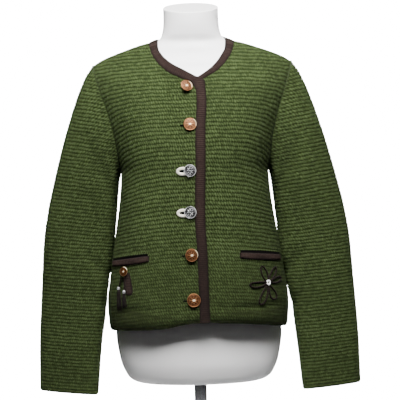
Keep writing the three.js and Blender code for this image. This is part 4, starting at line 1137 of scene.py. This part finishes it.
def form_piece():
    """The dress form: torso, shoulders and a neck that ends on a slope."""
    rows = list(zip(*FORM.values()))
    for x in (178, 166, 150, 132, 115, 100, NECK_X, 76):
        ease, front, back = (read(SHOULDER_DEPTH, "x", x, of) for of in ("ease", "front", "back"))
        rows.append((shoulder_z(x) - WALL - 0.6 - ease, x, front, back, 1.5))
    rows += [(*row, 2.0) for row in zip(*NECK_COLUMN.values())]
    rows.append((NECK_TOP_Z, 55.0, 50.0, 48.0, 2.0))
    keys = table("z half front back square", *rows)
    levels = np.concatenate([
        np.linspace(FORM_END, 155, 14), np.linspace(160, 740, 76), np.linspace(744, 826, 44),
        np.linspace(829, NECK_BASE, 12),
    ])
    turn = circle(FORM_SIDES)

    def ring(z, shrink=1.0):
        half, front, back, square = (
            read(keys, "z", z, of) for of in ("half", "front", "back", "square")
        )
        deep = squared(np.sin(turn), 2 / square)
        x = half * shrink * squared(np.cos(turn), 2 / square)
        y = np.where(deep < 0, front * shrink, back * shrink) * deep
        return np.stack([x, y, np.full(FORM_SIDES, float(z))], -1)

    def on_slope(shrink, above):
        rim = ring(NECK_BASE, shrink)
        rim[:, 2] = NECK_TOP_Z + NECK_SLOPE * rim[:, 1] + above
        return rim

    rings = [ring(z) for z in levels]
    for k in range(1, 9):
        wall = on_slope(1.0, 0.0)
        wall[:, 2] = NECK_BASE + (wall[:, 2] - NECK_BASE) * k / 9
        rings.append(wall)
    for a in np.linspace(0, math.pi / 2, 7):
        rings.append(on_slope(1 - 0.035 * (1 - math.cos(a)), NECK_RIM * math.sin(a)))
    rings += [on_slope(shrink, NECK_RIM) for shrink in (0.9, 0.6, 0.3)]
    stack = np.array(rings)
    high = stack[:, :, 2]
    soft = np.clip((high - 770) / 30, 0, 1) * np.clip((862 - high) / 15, 0, 1)
    for _ in range(14):
        mean = stack.copy()
        mean[1:-1] = (stack[:-2] + 2 * stack[1:-1] + stack[2:]) / 4
        stack = stack + (mean - stack) * soft[..., None] * np.array([1.0, 1.0, 0.0])
    stack = np.concatenate([[ring(FORM_END, s) for s in (0.3, 0.6, 0.85)], stack])
    ends = [[0, 0, FORM_END], stack[-1].mean(axis=0)]
    verts = np.concatenate([stack.reshape(-1, 3), ends])
    part = (verts, ring_quads(len(stack), FORM_SIDES), cap_tris(len(stack), FORM_SIDES))
    return soup_object("dress_form_shell", [part])


class Nodes:
    """A short way to set up a node material."""

    def __init__(self, name):
        self.material = bpy.data.materials.new(name)
        self.material.use_nodes = True
        self.tree = self.material.node_tree
        self.tree.nodes.clear()
        self.out = self.add("ShaderNodeOutputMaterial")
        self.shader = self.add("ShaderNodeBsdfPrincipled")
        self.link(self.shader.outputs["BSDF"], self.out.inputs["Surface"])

    def add(self, kind, **values):
        node = self.tree.nodes.new(kind)
        for key, value in values.items():
            setattr(node, key, value)
        return node

    def link(self, a, b):
        self.tree.links.new(a, b)

    def set(self, **values):
        for key, value in values.items():
            self.shader.inputs[key.replace("_", " ")].default_value = value

    def math(self, operation, a, b=None, clamp=False):
        node = self.add("ShaderNodeMath", operation=operation, use_clamp=clamp)
        for slot, value in ((0, a), (1, b)):
            if value is None:
                continue
            if isinstance(value, (int, float)):
                node.inputs[slot].default_value = value
            else:
                self.link(value, node.inputs[slot])
        return node.outputs[0]

    def vary(self, value, amount):
        """A noise's distance from its middle, times an amount."""
        return self.math("MULTIPLY", self.math("SUBTRACT", value, 0.5), amount)

    def noise(self, scale, detail=3.0, rough=0.55):
        node = self.add("ShaderNodeTexNoise")
        node.inputs["Scale"].default_value = scale
        node.inputs["Detail"].default_value = detail
        node.inputs["Roughness"].default_value = rough
        self.link(self.place(), node.inputs["Vector"])
        return node.outputs["Fac"]

    def place(self):
        if not hasattr(self, "_place"):
            self._place = self.add("ShaderNodeTexCoord").outputs["Object"]
        return self._place

    def attribute(self, name):
        node = self.add("ShaderNodeAttribute", attribute_name=name)
        return node.outputs["Fac"]

    def ramp(self, value, *stops):
        node = self.add("ShaderNodeValToRGB")
        self.link(value, node.inputs["Fac"])
        elements = node.color_ramp.elements
        while len(elements) < len(stops):
            elements.new(0.5)
        for element, (at, colour) in zip(elements, stops):
            element.position = at
            element.color = (*colour, 1.0)
        return node.outputs["Color"]

    def colour(self, value, *stops):
        self.link(self.ramp(value, *stops), self.shader.inputs["Base Color"])

    def bump(self, height, distance, strength=1.0):
        node = self.add("ShaderNodeBump")
        node.inputs["Strength"].default_value = strength
        node.inputs["Distance"].default_value = distance
        self.link(height, node.inputs["Height"])
        self.link(node.outputs["Normal"], self.shader.inputs["Normal"])


def yarn_material(name, dark, middle, light, sheen, ply=7.0, stitches=0.0):
    """Knitted wool: dark in the valleys and between stitches as painted shade, plied strands,
    melange fibres and a soft nap.
    """
    n = Nodes(name)
    uv = n.add("ShaderNodeUVMap", uv_map="knit").outputs["UV"]
    split = n.add("ShaderNodeSeparateXYZ")
    n.link(uv, split.inputs[0])
    u, v = split.outputs[0], split.outputs[1]
    f = n.math("FRACT", v)
    slant = n.math("ADD", n.math("MULTIPLY", u, ply), n.math("MULTIPLY", f, 4.0))
    strands = n.math("SINE", n.math("MULTIPLY", slant, 2 * math.pi))
    height = n.attribute("height")
    if stitches:
        # Painted shade in the gaps between the stitches, scaled by stitches, and a random tone for
        # each stitch.
        wave = n.math("COSINE", n.math("MULTIPLY", u, 2 * math.pi))
        gap = n.math("POWER", n.math("MULTIPLY", n.math("ADD", wave, 1.0), 0.5), 1.3)
        height = n.math("SUBTRACT", height, n.math("MULTIPLY", gap, stitches))
        loop = n.add("ShaderNodeCombineXYZ")
        n.link(n.math("FLOOR", u), loop.inputs[0])
        n.link(n.math("FLOOR", v), loop.inputs[1])
        chance = n.add("ShaderNodeTexWhiteNoise", noise_dimensions="2D")
        n.link(loop.outputs[0], chance.inputs["Vector"])
        height = n.math("ADD", height, n.vary(chance.outputs["Value"], 0.2))
    fibres = n.noise(900, 4.0, 0.65)
    tone = n.math("ADD", height, n.vary(n.noise(250, 2.0), 0.55))
    tone = n.math("ADD", tone, n.math("MULTIPLY", strands, 0.05))
    tone = n.math("ADD", tone, n.vary(fibres, 0.3))
    tone = n.math("ADD", tone, n.vary(n.noise(16, 2.0), 0.3), clamp=True)
    n.colour(tone, (0.05, dark), (0.55, middle), (1.0, light))
    relief = n.math("ADD", n.math("MULTIPLY", strands, 0.35), n.math("MULTIPLY", fibres, 0.9))
    n.bump(relief, 0.0006, 0.9)
    n.set(Roughness=0.92, Sheen_Weight=sheen, Sheen_Roughness=0.55, Specular_IOR_Level=0.12)
    n.shader.inputs["Sheen Tint"].default_value = (*light, 1.0)
    return n.material


def thread_material(name, dark, light, sheen=0.1):
    """Plain spun thread, with its tone from the stitches' heights, as painted shade in their dips,
    and fine fibres.
    """
    n = Nodes(name)
    fibres = n.noise(1400, 3.0, 0.6)
    tone = n.math("ADD", n.attribute("height"), n.vary(fibres, 0.5), clamp=True)
    n.colour(tone, (0.1, dark), (0.9, light))
    n.bump(fibres, 0.0005, 0.8)
    n.set(Roughness=0.9, Sheen_Weight=sheen, Specular_IOR_Level=0.06)
    return n.material


def metal_material(name, dark, bright, rough, pale=None):
    """Aged metal: dark in its hollows, worn bright where it stands proud, and, where a pale colour
    is given, a matt painted glint.
    """
    n = Nodes(name)
    stains = n.noise(420, 5.0, 0.6)
    tone = n.math("ADD", n.attribute("height"), n.vary(stains, 0.6), clamp=True)
    n.colour(tone, (0.12, dark), (0.68, bright), *([(0.88, pale)] if pale else []))
    worn = n.math("ADD", rough, n.vary(stains, 0.35), clamp=True)
    n.link(worn, n.shader.inputs["Roughness"])
    n.bump(n.noise(1800, 2.0), 0.0001, 0.5)
    if pale:
        # Where the painted glint shows, the metal is made less metallic, so it reads as a pale matt
        # reflection.
        dull = n.math("MULTIPLY", n.math("SUBTRACT", tone, 0.7), 3.0, True)
        n.link(n.math("SUBTRACT", 0.78, dull), n.shader.inputs["Metallic"])
    else:
        n.set(Metallic=0.6)
    return n.material


def smooth_material(name, low, high, rough, metallic=0.0, scale=260.0, coat=0.0):
    """A plain finish with faint cloudiness in its tone and gloss."""
    n = Nodes(name)
    fine = n.noise(scale, 3.0)
    n.colour(n.noise(7.0, 3.0), (0.25, low), (0.75, high))
    gloss = n.math("ADD", rough - 0.06, n.math("MULTIPLY", fine, 0.12), clamp=True)
    n.link(gloss, n.shader.inputs["Roughness"])
    n.bump(fine, 0.00008, 0.6)
    n.set(Metallic=metallic, Coat_Weight=coat)
    return n.material


# Each light's name, place, aim, size in metres and power in watts.
LIGHTS = (
    ("key", (0.06, -1.2, 2.12), (0.0, -0.05, 0.66), (1.4, 1.1), 208),
    ("fill", (0.4, -2.6, 1.1), (0.0, 0.0, 0.7), (1.0, 1.0), 0.8),
    ("back", (0.2, 2.0, 0.8), (0.0, 0.0, 0.55), (1.6, 1.4), 130),
)
BACKDROP_GLOW = 20.0
AIR_LIGHT = 0.045


def area_light(name, at, towards, size, power):
    light = bpy.data.lights.new(name, "AREA")
    light.shape = "RECTANGLE"
    light.size, light.size_y = size
    light.energy = power
    obj = bpy.data.objects.new(name, light)
    obj.location = at
    obj.rotation_euler = (Vector(towards) - Vector(at)).to_track_quat("-Z", "Y").to_euler()
    bpy.context.scene.collection.objects.link(obj)


def make_camera():
    camera = bpy.data.cameras.new("camera")
    camera.sensor_width = 36.0
    camera.lens = 36.0 * -CAMERA_AT[1] / FIELD
    camera.clip_end = 50.0
    obj = bpy.data.objects.new("camera", camera)
    level = Matrix.Rotation(math.pi / 2, 4, "X")
    roll = Matrix.Rotation(math.radians(CAMERA_ROLL), 4, "Z")
    obj.matrix_world = Matrix.Translation(Vector(CAMERA_AT) * MM) @ level @ roll
    bpy.context.scene.collection.objects.link(obj)
    bpy.context.scene.camera = obj


def stage_sheet(name, path, material):
    """A round sheet of the studio from a path of radii and heights, in metres."""
    turn = circle(64)
    verts = np.concatenate([
        np.stack([radius * np.cos(turn), radius * np.sin(turn), np.full(64, z)], -1)
        for radius, z in path
    ])
    sheet = soup_object(name, [(verts / MM, ring_quads(len(path), 64), [])])
    sheet.data.materials.append(material)
    sheet.visible_diffuse = False
    return sheet


def make_studio():
    """A pale floor, a white bowl round it that only the camera sees, and three soft lights."""
    white = smooth_material("studio_white", (0.86, 0.86, 0.86), (0.9, 0.9, 0.9), 0.8, scale=40.0)
    stage_sheet("studio_floor", [(0.01, 0.0), (0.3, 0.0), (0.6, 0.0)], white)
    bend = [(11 + 3 * math.sin(a), 3 - 3 * math.cos(a)) for a in np.linspace(0, 1.57, 9)]
    lit = smooth_material("studio_lit", (0.9, 0.9, 0.9), (0.92, 0.92, 0.92), 0.8, scale=40.0)
    shader = next(n for n in lit.node_tree.nodes if n.type == "BSDF_PRINCIPLED")
    shader.inputs["Emission Color"].default_value = (1.0, 1.0, 1.0, 1.0)
    shader.inputs["Emission Strength"].default_value = BACKDROP_GLOW
    backdrop = stage_sheet("studio_backdrop", [(0.6, 0.0), (4.0, 0.0), *bend, (14.0, 18.0)], lit)
    backdrop.visible_glossy = False
    backdrop.visible_shadow = False
    world = bpy.data.worlds.new("studio_air")
    world.use_nodes = True
    background = world.node_tree.nodes["Background"]
    background.inputs["Color"].default_value = (1.0, 1.0, 1.0, 1.0)
    background.inputs["Strength"].default_value = AIR_LIGHT
    bpy.context.scene.world = world
    for light in LIGHTS:
        area_light(*light)


make_camera()
make_studio()

GREEN = yarn_material(
    "moss_wool", (0.011, 0.0152, 0.0034), (0.029, 0.0445, 0.0122), (0.062, 0.089, 0.0305), 0.06,
    ply=6.0, stitches=0.46,
)
BROWN = yarn_material(
    "brown_wool", (0.0032, 0.0019, 0.0016), (0.0125, 0.0072, 0.0056), (0.03, 0.0182, 0.0148),
    0.04, ply=2.0,
)
SEAM_GREEN = thread_material("moss_thread", (0.010, 0.016, 0.005), (0.045, 0.064, 0.02))
CREAM = thread_material("cream_thread", (0.3, 0.27, 0.2), (0.78, 0.74, 0.62))
YARN = thread_material("brown_thread", (0.0025, 0.0018, 0.0015), (0.011, 0.0072, 0.006), 0.02)
SLIT_SHADOW = thread_material("slit_shadow", (0.0012, 0.001, 0.0009), (0.003, 0.0025, 0.002), 0.0)
COPPER = metal_material(
    "copper", (0.03, 0.01, 0.003), (0.29, 0.12, 0.042), 0.4, pale=(0.62, 0.53, 0.36)
)
PEWTER = metal_material("pewter", (0.02, 0.02, 0.021), (0.85, 0.85, 0.86), 0.3)
SILVER = metal_material("silver_bead", (0.03, 0.03, 0.03), (0.3, 0.3, 0.3), 0.3)
WHITE = smooth_material("form_white", (0.9, 0.885, 0.875), (0.93, 0.92, 0.915), 0.42, coat=0.15)
BEAD_WHITE = smooth_material("bead_white", (0.75, 0.73, 0.7), (0.82, 0.8, 0.77), 0.3)
CHROME = smooth_material("stand_chrome", (0.1, 0.1, 0.105), (0.2, 0.2, 0.21), 0.16, metallic=1.0)
SOCKET = smooth_material("socket_black", (0.012, 0.012, 0.012), (0.02, 0.02, 0.02), 0.35)
BASE_STEEL = smooth_material("base_steel", (0.52, 0.52, 0.53), (0.6, 0.6, 0.61), 0.32, metallic=1.0)

cloth = [
    ("front_right", knit_panel("front_right_knit", "front", -1, 153), (0.265, 0.6), 0.1205),
    ("front_left", knit_panel("front_left_knit", "front", 1, 169), (0.29, 0.6), 0.1315),
    ("back", knit_panel("back_knit", "back", 0, 173), (0.475, 0.6), 0.242),
    ("sleeve_right", knit_sleeve("sleeve_right_knit", -1, 161), (0.39, 0.66), 0.183),
    ("sleeve_left", knit_sleeve("sleeve_left_knit", 1, 161), (0.39, 0.66), 0.183),
]
for node, obj, flat, area in cloth:
    add_piece(obj, GREEN, [node])

for node, side in (("right", -1), ("left", 1)):
    add_piece(armhole_seam(f"armhole_seam_{node}", side), SEAM_GREEN)

neck = add_piece(neck_binding(), BROWN, ["neck_binding"])
edge = add_piece(edge_binding(), BROWN, ["edge_binding"])

for side in POCKETS:
    band, lip, mouth = pocket_pieces(side)
    add_piece(band, BROWN, [f"pocket_band_{side}"])
    add_piece(lip, GREEN, [f"pocket_lip_{side}"])
    add_piece(mouth, SLIT_SHADOW)

METALS = {"copper": COPPER, "pewter": PEWTER}
for i, spec in enumerate(BUTTONS, 1):
    lean = math.sin(math.radians(abs(spec[4])))
    lift = BUTTON_GAP + 0.9 * spec[2] * lean
    shank = lift - 0.6 - 0.5 * SHANK * lean
    pale = 0.85 if i == 2 else 1.0
    obj = button_mesh(f"front_button_{i}_coin", spec, shank, lift - 1.2, pale)
    add_piece(obj, METALS[spec[3]], [f"front_button_{i}"])
obj = button_mesh("pocket_button_coin", POCKET_BUTTON, POCKET_SHANK, POCKET_LIFT)
add_piece(obj, COPPER, ["pocket_button"])

for index in (2, 3):
    obj = worked_ring(f"buttonhole_ring_{index + 1}_thread", BUTTONS[index])
    add_piece(obj, CREAM, [f"buttonhole_ring_{index + 1}"])
    x, z = BUTTONS[index][0] + RING["shift"], BUTTONS[index][1]
    add_piece(slit(f"buttonhole_slot_{index + 1}", x + 1.5, z - 1.0, 5.4, 3.3), SLIT_SHADOW)
for index in (1, 4, 5):
    x, z = BUTTONS[index][0] - BUTTONS[index][2] - 2.6, BUTTONS[index][1] - 1
    add_piece(slit(f"buttonhole_slit_{index + 1}", x, z, 5.0, 1.3), SLIT_SHADOW)

add_piece(tab_piece(), BROWN, ["pocket_tab"])
for index, spec in enumerate(TASSELS, 1):
    cord, bead = tassel_pieces(index, spec)
    add_piece(cord, YARN, [f"pocket_tassel_{index}"])
    add_piece(bead, SILVER)
add_piece(flower_yarn(), YARN)
add_piece(flower_bead(), BEAD_WHITE, ["flower_bead"])
add_piece(form_piece(), WHITE, ["dress_form"])

part, _ = tube([(0, 0, 137.5), (0, 0, 128), (0, 0, 119)], 11.8, 40)
add_piece(soup_object("form_socket", [part]), SOCKET)

for node, material in (("pole", CHROME), ("base_plate", BASE_STEEL)):
    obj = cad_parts[node]
    for slot in obj.material_slots:
        slot.material = material
